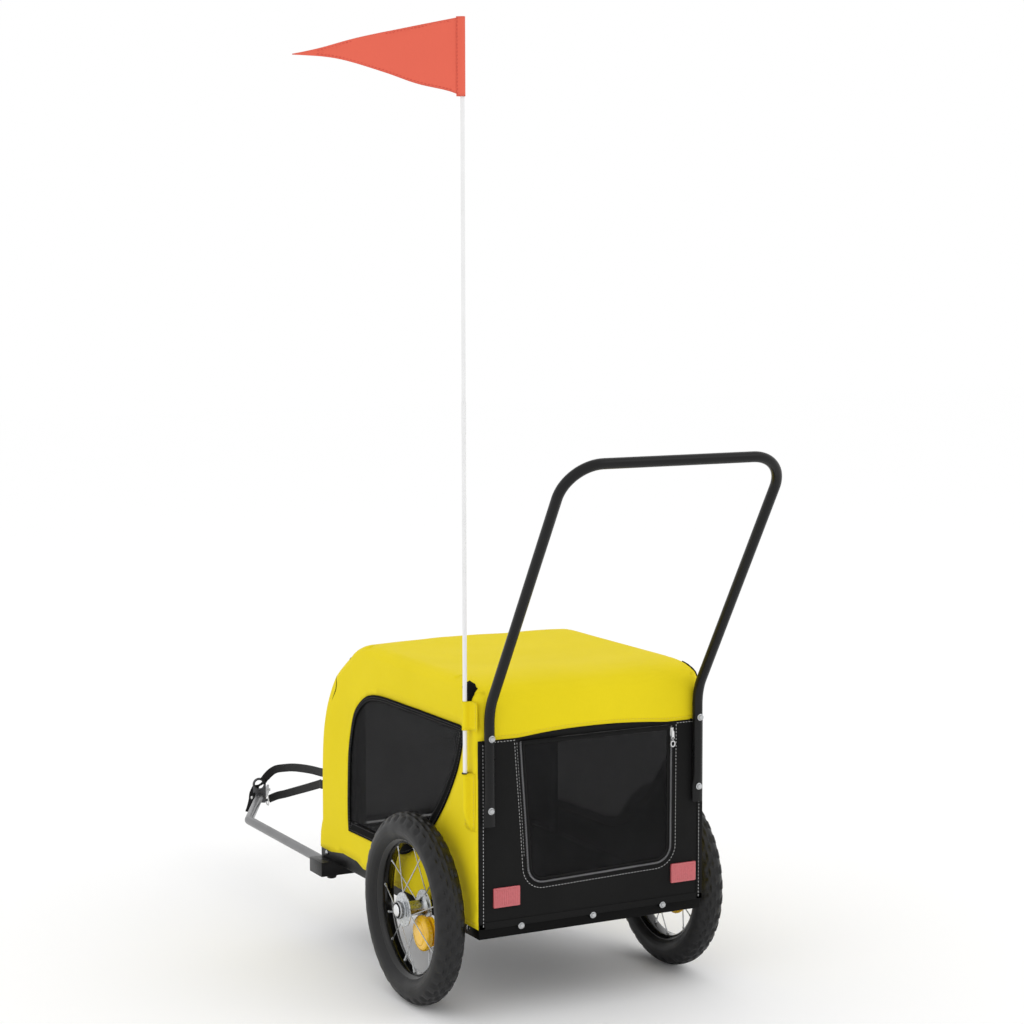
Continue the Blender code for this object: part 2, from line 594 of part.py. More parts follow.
def hitch():
    """Eye plate across the arm's end, and the fork and pin that take the bicycle's tongue."""
    along = FORK_DIR
    turn = Matrix.Rotation(math.atan2(-along.x, along.y), 4, 'Z')
    spot = Matrix.Translation((*ARM_END, 0)) @ turn
    foot = ARM_Z - 0.0115
    lug = [(0.0115, foot + 0.003), (0.0195, foot + 0.003), (0.0195, foot + 0.0075), (0.0115, foot + 0.0075)]
    outline = [(-0.0115, foot), (0.0115, foot), *lug]
    outline += [(0.0125 * math.cos(a), 0.1450 + 0.0125 * math.sin(a)) for a in
                [math.pi * i / 8 for i in range(9)]]
    eye = plate(outline, 'y', GAP, GAP + 0.0030, [circle((0, 0.1450), 0.0085, 12)])
    eye.transform(spot)
    add("hitch_plate", eye, STEEL, 0.35, 0.9)

    near = 2 * GAP + 0.0030
    far = FORK_LENGTH
    slot = FORK_HALF - 0.004
    arm_out = [(-FORK_HALF, near), (FORK_HALF, near), (FORK_HALF, far), (slot, far), (slot, near + 0.004),
               (-slot, near + 0.004), (-slot, far), (-FORK_HALF, far)]
    fork = plate(arm_out, 'z', ARM_Z - 0.0080, ARM_Z + 0.0080)
    fork.transform(spot)
    yoke = add("coupler_fork", fork, STEEL, 0.35, 0.9)
    pin_at = spot @ Vector((0, far - 0.010, 0))
    reach = 0.0180
    hole = turned([(-reach, 0.0036), (reach, 0.0036)], 'x', (0, 0, 0), 12, closed=False)
    hole.transform(Matrix.Translation((pin_at.x, pin_at.y, ARM_Z)) @ turn)
    boolean(yoke, tool("cut_fork_pin", hole))
    pin_profile = [(-0.0185, 0.0060), (-0.0125, 0.0070), (-0.0119, 0.0070), (-0.0119, 0.0032), (0.0150, 0.0032)]
    pin = turned(pin_profile, 'x', (0, 0, 0), 12, closed=False)
    pin.transform(Matrix.Translation((pin_at.x, pin_at.y, ARM_Z)) @ turn)
    add("hitch_pin", pin, ZINC, 0.3, 1.0, at=(pin_at.x, pin_at.y, ARM_Z))


# Middle line of the safety strap: out of the eye plate and back to the nose, where a
# keeper holds its bend, then forward again to the ring that hangs on the plate's lug.
STRAP_ROUTE = [(-0.0980, 0.9540, 0.1530), (-0.0920, 0.9420, 0.1680), (-0.0859, 0.9200, 0.1818),
               (-0.0857, 0.8700, 0.1944), (-0.0943, 0.8000, 0.2089), (-0.1148, 0.6800, 0.2297),
               (-0.1379, 0.5800, 0.2463), (-0.1590, 0.5030, 0.2600), (-0.1650, 0.4720, 0.2610),
               (-0.1725, 0.4610, 0.2560), (-0.1790, 0.4720, 0.2490), (-0.1690, 0.5080, 0.2420),
               (-0.1447, 0.5600, 0.2300), (-0.1334, 0.6000, 0.2193), (-0.1146, 0.7000, 0.1915),
               (-0.0990, 0.7900, 0.1666), (-0.0905, 0.8600, 0.1466), (-0.0880, 0.9050, 0.1340),
               (-0.0886, 0.9430, 0.1205)]
STRAP_R = 0.0075
RING_AT = (-0.0882, 0.9563, 0.1165)


def smooth_route(points, step):
    """Points along a smooth curve through the route's own points, about one step apart."""
    knots = [Vector(p) for p in points]
    padded = [knots[0] * 2 - knots[1]] + knots + [knots[-1] * 2 - knots[-2]]
    result = []
    for a, b, c, d in zip(padded, padded[1:], padded[2:], padded[3:]):
        pieces = max(1, round((c - b).length / step))
        for i in range(pieces):
            t = i / pieces
            bend = (a * 2 - b * 5 + c * 4 - d) * t * t + (b * 3 - a - c * 3 + d) * t * t * t
            result.append((b * 2 + (c - a) * t + bend) / 2)
    return result + [knots[-1]]


def strap():
    curve = bpy.data.curves.new("safety_strap", 'CURVE')
    curve.dimensions = '3D'
    curve.bevel_depth = STRAP_R
    curve.bevel_resolution = 2
    curve.use_fill_caps = True
    points = smooth_route(STRAP_ROUTE, 0.018)
    spline = curve.splines.new('POLY')
    spline.points.add(len(points) - 1)
    for spot, point in zip(spline.points, points):
        spot.co = (*point, 1.0)
    obj = bpy.data.objects.new("safety_strap", curve)
    curve.materials.append(material("safety_strap", BLACK, 0.8))
    bpy.context.scene.collection.objects.link(obj)
    obj.parent = trailer
    ring = turned([(0.0011 * math.cos(a), 0.0100 + 0.0011 * math.sin(a)) for a in
                   [math.pi * i / 3 for i in range(6)]], 'x', (0, 0, 0), 16)
    turn = Matrix.Rotation(math.atan2(-FORK_DIR.x, FORK_DIR.y), 4, 'Z')
    ring.transform(Matrix.Translation(RING_AT) @ turn)
    add("strap_ring", ring, WHITE, 0.3, 0.8)


# ---- wheels -------------------------------------------------------------------------
def wheel(side, word):
    middle = (side * TRACK_HALF, 0, WHEEL_R)
    half = TYRE_WIDTH / 2
    section_r = WHEEL_R - half
    tyre = []
    for i in range(9):
        turn = math.pi * (-0.18 + 1.36 * i / 8)
        tyre.append((half * math.cos(turn), section_r + half * math.sin(turn)))
    bed = RIM_R + 0.0012
    tyre += [(-0.0100, bed), (0.0100, bed)]
    add(f"tyre_{word}", turned(tyre, 'x', middle, RIM_SIDES), TYRE_BLACK, 0.8, at=middle)

    w = RIM_WIDTH / 2
    rim = [(w - 0.0030, RIM_R - 0.0040), (0.0098, RIM_R + 0.0008), (-0.0098, RIM_R + 0.0008),
           (-w + 0.0030, RIM_R - 0.0040), (-w + 0.0005, RIM_R - 0.0075), (-0.0080, RIM_R - 0.0130),
           (0.0080, RIM_R - 0.0130), (w - 0.0005, RIM_R - 0.0075)]
    add(f"rim_{word}", turned(rim, 'x', middle, RIM_SIDES), BLACK, 0.3, 0.3, at=middle)
    hub_and_spokes(side, word, middle)
    wheel_axle(side, word)

    spot = (side * (TRACK_HALF - 0.002), -0.029, 0.1170)
    glass = [(-0.0075, 0.0235), (-0.0045, 0.0275), (0.0045, 0.0275), (0.0075, 0.0235)]
    lens = turned(glass, 'x', spot, 16, closed=False)
    lens = add(f"wheel_reflector_{word}", lens, AMBER, 0.2, at=middle)
    boolean(lens, tool(f"cut_reflector_{word}", spoke_bars(middle, SPOKE_R + 0.0006)), crossing=True)


SPOKE_R = 0.0011


def spoke_ends(middle):
    """Both ends of each spoke: alternate flanges, crossing left and right."""
    ends = []
    for k in range(SPOKES):
        flange = 0.018 if k % 2 else -0.018
        lean = 0.55 if (k // 2) % 2 else -0.55
        rim_turn = 2 * math.pi * (k + 0.35) / SPOKES
        hub_turn = rim_turn + lean
        inner = 0.0225
        outer = (RIM_R - 0.0130) * math.cos(math.pi / RIM_SIDES) - 0.0008
        start = Vector((flange, inner * math.cos(hub_turn), inner * math.sin(hub_turn)))
        end = Vector((flange * 0.12, outer * math.cos(rim_turn), outer * math.sin(rim_turn)))
        ends.append((Vector(middle) + start, Vector(middle) + end))
    return ends


def spoke_bars(middle, radius, sides=6):
    return merge(*[tube([start, end], radius, sides) for start, end in spoke_ends(middle)])


def hub_and_spokes(side, word, middle):
    h = HUB_HALF
    bore = AXLE_R + 0.0009
    hub = [(-h, bore), (h, bore), (h, 0.0130), (0.0195, 0.0140), (0.0195, HUB_FLANGE_R), (0.0165, HUB_FLANGE_R),
           (0.0165, 0.0140), (0.0120, 0.0110), (-0.0120, 0.0110), (-0.0165, 0.0140), (-0.0165, HUB_FLANGE_R),
           (-0.0195, HUB_FLANGE_R), (-0.0195, 0.0140), (-h, 0.0130)]
    body = add(f"hub_{word}", turned(hub[::-1], 'x', middle, 20), ZINC, 0.35, 1.0, at=middle)
    boolean(body, tool(f"spokes_{word}", spoke_bars(middle, SPOKE_R)), 'UNION', True)


def wheel_axle(side, word):
    """Quick-release axle: a head with a recess, and the button in it."""
    hub_end = side * (TRACK_HALF + HUB_HALF + 0.0005)
    head = 0.0055
    recess = 0.0040
    inner_end = side * (BASE_HALF - 0.028)
    line = [(0.0, AXLE_R), (abs(hub_end - inner_end), AXLE_R), (abs(hub_end - inner_end), 0.0140)]
    far = abs(hub_end - inner_end) + head
    line += [(far, 0.0135), (far, 0.0105), (far - recess, 0.0105)]
    profile = [(side * a, r) for a, r in line]
    axle = turned(profile, 'x', (inner_end, 0, WHEEL_R), 16, closed=False)
    add(f"axle_{word}", axle, ZINC, 0.35, 1.0, at=(hub_end, 0, WHEEL_R))

    back = hub_end + side * (head - recess + 0.0033)
    cap = [(0.0, 0.0100), (0.0022, 0.0100), (0.0034, 0.0080), (0.0040, 0.0040)]
    button = turned([(side * a, r) for a, r in cap], 'x', (back, 0, WHEEL_R), 16, closed=False)
    add(f"release_button_{word}", button, ZINC, 0.25, 1.0, at=(back, 0, WHEEL_R))

    low, high = sorted((side * (BODY_HALF + GAP), side * (TRACK_HALF - HUB_HALF - 0.0005)))
    ring = [(low, AXLE_R + 0.0004), (high, AXLE_R + 0.0004), (high, 0.0095), (low, 0.0095)]
    add(f"axle_spacer_{word}", turned(ring[::-1], 'x', (0, 0, WHEEL_R), 14), BLACK, 0.5)


base_frame()
hoops()
side_walls()
roof_and_nose()
rear_panel()
pole_holder()
handle()
rail_bolts()
reflectors()
flag()
tow_arm()
strap()
wheel(-1, "left")
wheel(1, "right")
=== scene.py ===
"""Looks of the fabric bicycle trailer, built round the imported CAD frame.

Metres, +Z up. Shapes are laid out in trailer coordinates: X = 0 is the middle plane
and +X the right-hand side, Y = 0 is the wheel axle and +Y the direction of travel,
Z = 0 is the ground. SHIFT moves them to the frame's own coordinates.
"""
import json
import math

import bmesh
import bpy
from mathutils import Matrix, Vector, geometry, kdtree, noise

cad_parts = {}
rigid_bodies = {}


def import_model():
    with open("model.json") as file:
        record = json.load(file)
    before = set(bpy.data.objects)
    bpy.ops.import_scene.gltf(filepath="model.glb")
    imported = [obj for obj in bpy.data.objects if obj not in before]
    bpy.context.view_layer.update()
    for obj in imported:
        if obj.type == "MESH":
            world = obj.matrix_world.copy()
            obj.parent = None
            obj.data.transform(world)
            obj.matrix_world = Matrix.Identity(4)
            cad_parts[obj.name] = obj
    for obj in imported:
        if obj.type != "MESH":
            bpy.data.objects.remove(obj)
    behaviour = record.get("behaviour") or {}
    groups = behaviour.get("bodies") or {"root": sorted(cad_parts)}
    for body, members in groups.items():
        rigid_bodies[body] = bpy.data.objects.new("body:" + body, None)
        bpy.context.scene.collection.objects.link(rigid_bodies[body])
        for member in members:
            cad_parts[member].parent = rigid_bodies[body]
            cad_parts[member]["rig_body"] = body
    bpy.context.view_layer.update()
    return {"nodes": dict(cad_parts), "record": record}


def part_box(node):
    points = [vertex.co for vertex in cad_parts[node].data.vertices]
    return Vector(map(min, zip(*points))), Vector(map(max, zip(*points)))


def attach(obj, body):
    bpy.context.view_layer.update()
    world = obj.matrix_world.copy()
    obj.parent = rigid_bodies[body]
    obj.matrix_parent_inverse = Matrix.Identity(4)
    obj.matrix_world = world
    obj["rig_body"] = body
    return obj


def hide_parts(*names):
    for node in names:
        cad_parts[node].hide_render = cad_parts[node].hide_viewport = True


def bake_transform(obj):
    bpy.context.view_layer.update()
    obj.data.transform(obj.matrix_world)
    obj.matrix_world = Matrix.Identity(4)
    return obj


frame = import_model()
NODES = frame["nodes"]
SLOT_OF = {part["node"]: part["material_slot"] for part in frame["record"]["subparts"]}

base_low, base_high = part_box("base_frame")
tyre_low, tyre_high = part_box("tyre_left")
SHIFT = Vector(((base_low.x + base_high.x) / 2, (tyre_low.y + tyre_high.y) / 2, 0.0))

# ---- driving dimensions, as in the CAD --------------------------------------------
WHEEL_R = 0.150
TRACK_HALF = 0.2305
AXLE_INNER = 0.168
RIM_R = 0.114
BODY_HALF = 0.198
BODY_REAR = -0.158
NOSE_Y = 0.443              # foremost plane of the cover
HEM_Z = 0.149
PANEL_TOP = 0.4375
TUBE_R = 0.008
HANDLE_HALF = 0.183
HANDLE_Y = -0.1668
HANDLE_BEND_Z = 0.486
HANDLE_TOP = (-0.4056, 0.8687)
HANDLE_BOLT_Z = (0.3326, 0.4425)
POLE = Vector((-0.2068, -0.133, 0.0))
POLE_R = 0.0033
ARM_Z = 0.1205
ARM_PIVOT = (-0.190, 0.412)
ARM_BEND = (-0.190, 0.795)
ARM_END = (-0.100, 0.967)
FORK_TURN = math.atan2(-0.090, 0.172)
DOOR_HALF = 0.135
DOOR_LOW = 0.176
DOOR_TOP = 0.431
ZIP = 0.0060
ROUND = 0.018              # roof and nose turn into the side walls with this radius

ROOF_LINE = [(BODY_REAR, PANEL_TOP), (BODY_REAR, 0.462), (BODY_REAR, 0.486), (-0.154, 0.503), (-0.145, 0.513),
             (-0.128, 0.520), (-0.100, 0.524), (-0.070, 0.525), (0.000, 0.525), (0.080, 0.525), (0.160, 0.525),
             (0.240, 0.525), (0.268, 0.522), (0.300, 0.511), (0.321, 0.498), (0.350, 0.480), (0.376, 0.462)]
NOSE_LINE = [(0.391, 0.446), (0.402, DOOR_TOP), (0.420, 0.400), (0.434, 0.360), (0.440, 0.320), (0.4425, 0.270),
             (NOSE_Y, 0.220), (NOSE_Y, DOOR_LOW - ZIP), (NOSE_Y, HEM_Z)]
WINDOW = [(-0.109, 0.447), (-0.106, 0.429), (-0.084, 0.380), (-0.045, 0.324), (-0.005, 0.281), (0.040, 0.243),
          (0.085, 0.217), (0.130, 0.206), (0.222, 0.204), (0.322, 0.202), (0.324, 0.239), (0.324, 0.286),
          (0.322, 0.335), (0.311, 0.372), (0.296, 0.403), (0.273, 0.4245), (0.243, 0.4405), (0.206, 0.4477),
          (0.160, 0.4496), (0.110, 0.4500), (0.050, 0.4502), (-0.097, 0.4505)]
WINDOW_CORNER = 9          # the sharp corner low at the front
REAR_DOOR = [(-0.124, 0.431), (-0.110, 0.213), (0.136, 0.219), (0.137, 0.431)]
REAR_DOOR_RADII = [0, 0.024, 0.024, 0]
STRAP_ROUTE = [(-0.0980, 0.9540, 0.1530), (-0.0920, 0.9420, 0.1680), (-0.0859, 0.9200, 0.1818),
               (-0.0857, 0.8700, 0.1944), (-0.0943, 0.8000, 0.2089), (-0.1148, 0.6800, 0.2297),
               (-0.1379, 0.5800, 0.2463), (-0.1590, 0.5030, 0.2600), (-0.1650, 0.4720, 0.2610),
               (-0.1725, 0.4610, 0.2560), (-0.1790, 0.4720, 0.2490), (-0.1690, 0.5080, 0.2420),
               (-0.1447, 0.5600, 0.2300), (-0.1334, 0.6000, 0.2193), (-0.1146, 0.7000, 0.1915),
               (-0.0990, 0.7900, 0.1666), (-0.0905, 0.8600, 0.1466), (-0.0880, 0.9050, 0.1340),
               (-0.0886, 0.9430, 0.1205)]
STRAP_WIDTH = 0.015
RING_AT = (-0.0882, 0.9563, 0.1165)
SIDES = ((-1, "left"), (1, "right"))

# ---- camera, light and floor --------------------------------------------------------
def make_camera():
    """Camera behind, to the left and a little above."""
    azimuth, elevation, roll = (math.radians(a) for a in (-28.1032, 5.7129, -0.0869))
    target = SHIFT + Vector((-0.0359, 0.0, 0.7730))
    back = Vector((math.sin(azimuth) * math.cos(elevation), -math.cos(azimuth) * math.cos(elevation),
                   math.sin(elevation)))
    right = (-back).cross(Vector((0, 0, 1))).normalized()
    up = back.cross(right)
    across = right * math.cos(roll) + up * math.sin(roll)
    upward = up * math.cos(roll) - right * math.sin(roll)
    data = bpy.data.cameras.new("camera")
    data.sensor_width = 36.0
    data.lens = 84.38
    data.shift_x = -0.0111
    data.shift_y = -0.0083
    data.clip_end = 60.0
    camera = bpy.data.objects.new("camera", data)
    bpy.context.scene.collection.objects.link(camera)
    turn = Matrix((across, upward, back)).transposed().to_4x4()
    camera.matrix_world = Matrix.Translation(target + back * 3.7632) @ turn
    bpy.context.scene.camera = camera


def area_light(name, place, size, power):
    """Round soft light that looks at the trailer's middle."""
    data = bpy.data.lights.new(name, 'AREA')
    data.shape = 'DISK'
    data.size = size
    data.energy = power
    light = bpy.data.objects.new(name, data)
    bpy.context.scene.collection.objects.link(light)
    light.location = place
    light.rotation_euler = (Vector((0, 0, 0.35)) - Vector(place)).to_track_quat('-Z', 'Y').to_euler()


def make_studio():
    """White surroundings, two soft lights and a white floor."""
    world = bpy.data.worlds.new("studio")
    bpy.context.scene.world = world
    world.use_nodes = True
    world.node_tree.nodes["Background"].inputs["Color"].default_value = (1.0, 1.0, 1.0, 1.0)
    world.node_tree.nodes["Background"].inputs["Strength"].default_value = 1.0
    bpy.context.scene.view_settings.view_transform = 'Standard'
    area_light("key", (2.6, -3.4, 3.6), 2.6, 14)
    area_light("fill", (-3.6, -1.0, 2.4), 3.0, 7)
    bm = bmesh.new()
    bmesh.ops.create_grid(bm, x_segments=40, y_segments=40, size=14.0)
    mesh = bpy.data.meshes.new("studio_floor")
    bm.to_mesh(mesh)
    bm.free()
    mesh.materials.append(MATERIALS["studio"])
    floor = bpy.data.objects.new("studio_floor", mesh)
    bpy.context.scene.collection.objects.link(floor)


# ---- materials ------------------------------------------------------------------------
class Surface:
    """A node material written as short calls; patterns use each piece's own coordinates."""

    def __init__(self, name, colour, roughness, metallic=0.0, **sockets):
        self.mat = bpy.data.materials.new(name)
        self.mat.use_nodes = True
        self.tree = self.mat.node_tree
        self.shader = self.tree.nodes["Principled BSDF"]
        self.set("Base Color", (*colour, 1.0))
        self.set("Roughness", roughness)
        self.set("Metallic", metallic)
        for key, value in sockets.items():
            self.set(key.replace("_", " "), value)
        self.mat.diffuse_color = (*colour, 1.0)
        self.colour = colour
        self.place = self.tree.nodes.new("ShaderNodeTexCoord").outputs["Object"]
        self.normal = None

    def set(self, socket, value):
        if isinstance(value, bpy.types.NodeSocket):
            self.tree.links.new(value, self.shader.inputs[socket])
        else:
            self.shader.inputs[socket].default_value = value

    def node(self, kind, inputs, **settings):
        node = self.tree.nodes.new("ShaderNode" + kind)
        for key, value in settings.items():
            setattr(node, key, value)
        for key, value in inputs.items():
            if isinstance(value, bpy.types.NodeSocket):
                self.tree.links.new(value, node.inputs[key])
            else:
                node.inputs[key].default_value = value
        return node

    def maths(self, operation, first, second=0.0):
        return self.node("Math", {0: first, 1: second}, operation=operation).outputs[0]

    def noise(self, scale, detail=3.0, stretch=(1, 1, 1)):
        where = self.node("Mapping", {"Vector": self.place, "Scale": stretch}).outputs[0]
        return self.node("TexNoise", {"Vector": where, "Scale": scale, "Detail": detail,
                                      "Roughness": 0.55}).outputs["Fac"]

    def span(self, value, low, high, new_low, new_high):
        inputs = {0: value, 1: low, 2: high, 3: new_low, 4: new_high}
        return self.node("MapRange", inputs).outputs[0]

    def tint(self, factor, dark, light):
        """Colour between dark and light times the base colour."""
        first = tuple(c * dark for c in self.colour) + (1.0,)
        second = tuple(min(1.0, c * light) for c in self.colour) + (1.0,)
        mix = self.node("Mix", {0: factor, 6: first, 7: second}, data_type='RGBA')
        self.set("Base Color", mix.outputs[2])

    def weave(self, pitch):
        """Crossing threads, from 0 to 1, on any surface that lies along two of the axes."""
        axes = self.node("SeparateXYZ", {0: self.place}).outputs
        waves = [self.maths('SINE', self.maths('MULTIPLY', axis, 2 * math.pi / pitch)) for axis in axes]
        pairs = [self.maths('MULTIPLY', waves[i], waves[i - 1]) for i in range(3)]
        total = self.maths('ADD', self.maths('ADD', pairs[0], pairs[1]), pairs[2])
        return self.span(total, -1.2, 1.2, 0.0, 1.0)

    def bump(self, height, distance, strength=1.0):
        inputs = {"Height": height, "Distance": distance, "Strength": strength}
        if self.normal is not None:
            inputs["Normal"] = self.normal
        self.normal = self.node("Bump", inputs).outputs["Normal"]
        self.set("Normal", self.normal)


def fabric(name, colour, pitch, roughness, dark=0.86, light=1.06, shine=0.15):
    """Woven cloth: crossing threads, slubs and cloudy wear."""
    made = Surface(name, colour, roughness, Specular_IOR_Level=shine)
    threads = made.weave(pitch)
    cloudy = made.span(made.noise(7.0, 4.0), 0.3, 0.7, 0.0, 1.0)
    slubs = made.span(made.noise(900.0, 2.0, (1, 1, 0.12)), 0.3, 0.7, 0.0, 1.0)
    mixed = made.maths('ADD', made.maths('MULTIPLY', cloudy, 0.45),
                       made.maths('ADD', made.maths('MULTIPLY', threads, 0.35), made.maths('MULTIPLY', slubs, 0.2)))
    made.tint(mixed, dark, light)
    made.set("Roughness", made.span(mixed, 0.0, 1.0, roughness + 0.08, roughness - 0.06))
    made.bump(made.span(made.noise(38.0, 3.0), 0.2, 0.8, 0.0, 1.0), 0.0006, 0.5)
    made.bump(threads, pitch * 0.12, 0.6)
    return made.mat


def coated(name, colour, roughness, metallic=0.0, grain=650.0, depth=0.00004, wear=0.25, shine=0.5):
    """Powder coat, plating, lacquer or moulded plastic: fine grain, cloudy gloss and dulled patches."""
    made = Surface(name, colour, roughness, metallic, Specular_IOR_Level=shine)
    patches = made.span(made.noise(22.0, 5.0), 0.35, 0.75, 0.0, 1.0)
    fine = made.noise(grain, 2.0)
    made.tint(patches, 1.0 - wear * 0.4, 1.0 + wear)
    made.set("Roughness", made.span(patches, 0.0, 1.0, roughness - 0.05, roughness + 0.12))
    made.bump(fine, depth, 0.5)
    return made.mat


def brushed(name, colour, roughness, stretch, metallic=1.0):
    made = Surface(name, colour, roughness, metallic)
    lines = made.noise(260.0, 4.0, stretch)
    stains = made.span(made.noise(16.0, 5.0), 0.4, 0.75, 0.0, 1.0)
    made.tint(made.maths('ADD', made.maths('MULTIPLY', lines, 0.5), made.maths('MULTIPLY', stains, 0.5)), 0.78,
              1.15)
    made.set("Roughness", made.span(lines, 0.3, 0.7, roughness - 0.07, roughness + 0.1))
    made.bump(lines, 0.00006, 0.5)
    return made.mat


def spangled_zinc():
    made = Surface("galvanised_zinc", (0.55, 0.57, 0.59), 0.30, 1.0)
    cells = made.node("TexVoronoi", {"Vector": made.place, "Scale": 330.0}).outputs["Color"]
    value = made.node("SeparateXYZ", {0: cells}).outputs[0]
    made.tint(value, 0.70, 1.15)
    made.set("Roughness", made.span(value, 0.0, 1.0, 0.22, 0.42))
    made.bump(value, 0.00005, 0.6)
    return made.mat


def window_mesh():
    """Black knitted mesh: the holes let about a fifth of the light through."""
    made = Surface("window_mesh", (0.010, 0.010, 0.0105), 0.75, Specular_IOR_Level=0.10)
    holes = made.weave(0.0022)
    made.tint(made.span(made.noise(9.0, 3.0), 0.3, 0.7, 0.0, 1.0), 0.8, 1.3)
    made.set("Alpha", made.span(holes, 0.35, 0.75, 0.82, 0.48))
    made.bump(holes, 0.0002, 0.5)
    return made.mat


def rubber():
    made = Surface("tyre_rubber", (0.0110, 0.0110, 0.0115), 0.46, Specular_IOR_Level=0.30)
    dust = made.span(made.noise(30.0, 5.0), 0.45, 0.8, 0.0, 1.0)
    made.tint(dust, 0.85, 1.7)
    made.set("Roughness", made.span(dust, 0.0, 1.0, 0.44, 0.66))
    made.bump(made.noise(900.0, 3.0), 0.0001, 0.5)
    return made.mat


def lens(name, colour, cell, transmission):
    made = Surface(name, colour, 0.16, Transmission_Weight=transmission, IOR=1.49, Coat_Weight=0.5,
                   Coat_Roughness=0.05)
    cells = made.node("TexVoronoi", {"Vector": made.place, "Scale": 1.0 / cell}, feature='F1').outputs["Distance"]
    made.tint(made.span(cells, 0.0, 0.6, 0.0, 1.0), 0.92, 1.05)
    made.bump(cells, 0.0004, 0.4)
    return made.mat


def webbing():
    made = Surface("webbing", (0.0065, 0.0065, 0.0065), 0.7, Specular_IOR_Level=0.12)
    ribs = made.noise(700.0, 2.0, (1.0, 0.35, 1.0))
    rows = made.weave(0.0024)
    made.tint(rows, 0.7, 1.7)
    made.bump(rows, 0.0003, 0.7)
    made.bump(ribs, 0.0001, 0.5)
    return made.mat


def thread(name, colour):
    made = Surface(name, colour, 0.6, Sheen_Weight=0.2)
    twist = made.noise(2500.0, 1.0)
    made.tint(twist, 0.8, 1.1)
    made.bump(twist, 0.0001, 0.6)
    return made.mat


def studio_floor():
    made = Surface("studio_floor", (1.0, 1.0, 1.0), 0.7, Specular_IOR_Level=0.0)
    made.tint(made.noise(1.2, 2.0), 0.995, 1.0)
    return made.mat


MATERIALS = {
    "yellow": fabric("yellow_oxford", (0.800, 0.640, 0.010), 0.0011, 0.70, 0.93, 1.03, 0.12),
    "black": fabric("black_oxford", (0.0085, 0.0085, 0.0085), 0.0011, 0.70, 0.75, 1.35, 0.10),
    "lining": fabric("black_lining", (0.008, 0.008, 0.008), 0.0015, 0.80, 0.8, 1.3, 0.05),
    "tape": fabric("zip_tape", (0.008, 0.008, 0.008), 0.0013, 0.75, 0.8, 1.5, 0.10),
    "flag": fabric("flag_nylon", (0.770, 0.140, 0.090), 0.0012, 0.60, 0.96, 1.03, 0.10),
    "board": fabric("floor_board", (0.014, 0.014, 0.014), 0.002, 0.8),
    "mesh": window_mesh(),
    "paint": coated("black_powder_coat", (0.0060, 0.0060, 0.0062), 0.30, 0.0, 800.0, 0.00005, 0.25, 0.22),
    "plastic": coated("black_plastic", (0.0070, 0.0070, 0.0070), 0.46, 0.0, 500.0, 0.00006, 0.3, 0.18),
    "rim": coated("rim_paint", (0.0045, 0.0045, 0.0045), 0.18, 0.0, 300.0, 0.00002, 0.2, 0.42),
    "rod": coated("pole_white", (0.80, 0.80, 0.80), 0.30, 0.0, 700.0, 0.00003, 0.04, 0.3),
    "lacquer": coated("white_lacquer", (0.72, 0.72, 0.72), 0.26, 0.1, 700.0, 0.00003, 0.05, 0.5),
    "steel": brushed("tow_steel", (0.24, 0.24, 0.245), 0.34, (1.0, 0.06, 1.0)),
    "dark_steel": brushed("plate_steel", (0.10, 0.10, 0.105), 0.42, (1.0, 1.0, 0.2)),
    "zinc": brushed("zinc_plate", (0.50, 0.51, 0.52), 0.28, (1.0, 1.0, 1.0)),
    "bright_zinc": brushed("bright_zinc", (0.78, 0.79, 0.80), 0.18, (1.0, 1.0, 1.0)),
    "spangle": spangled_zinc(),
    "coil": coated("zip_coil", (0.26, 0.26, 0.27), 0.35, 0.3),
    "rubber": rubber(),
    "amber": lens("amber_lens", (1.0, 0.56, 0.012), 0.004, 0.10),
    "red": lens("red_lens", (0.50, 0.098, 0.110), 0.0035, 0.0),
    "webbing": webbing(),
    "white_thread": thread("white_thread", (0.42, 0.42, 0.42)),
    "yellow_thread": thread("yellow_thread", (0.76, 0.60, 0.008)),
    "dark_thread": thread("dark_thread", (0.006, 0.006, 0.006)),
    "deep": fabric("deep_black_binding", (0.0030, 0.0030, 0.0030), 0.0011, 0.75, 0.75, 1.4, 0.06),
    "rail": coated("rail_paint", (0.0024, 0.0024, 0.0024), 0.35, 0.0, 800.0, 0.00005, 0.3, 0.08),
    "red_thread": thread("red_thread", (0.62, 0.060, 0.040)),
    "studio": studio_floor(),
}

# The record's colour slot that each material usually stands for.
USUAL_SLOT = {key: slot for slot, keys in {
    "yellow_fabric": ("yellow", "yellow_thread"),
    "black_fabric": ("black", "deep", "lining", "white_thread", "dark_thread"),
    "zip_tape": ("tape", "coil"),
    "window_mesh": ("mesh",),
    "frame_paint": ("paint",),
    "black_plastic": ("plastic",),
    "white_metal": ("lacquer",),
    "pole_white": ("rod",),
    "tyre_rubber": ("rubber",),
    "rim_paint": ("rim",),
    "tow_steel": ("steel", "dark_steel"),
    "red_lens": ("red",),
    "amber_lens": ("amber",),
    "webbing": ("webbing",),
    "flag_fabric": ("flag", "red_thread"),
    "zinc_steel": ("zinc", "bright_zinc"),
    "hub_zinc": ("spangle",),
}.items() for key in keys}


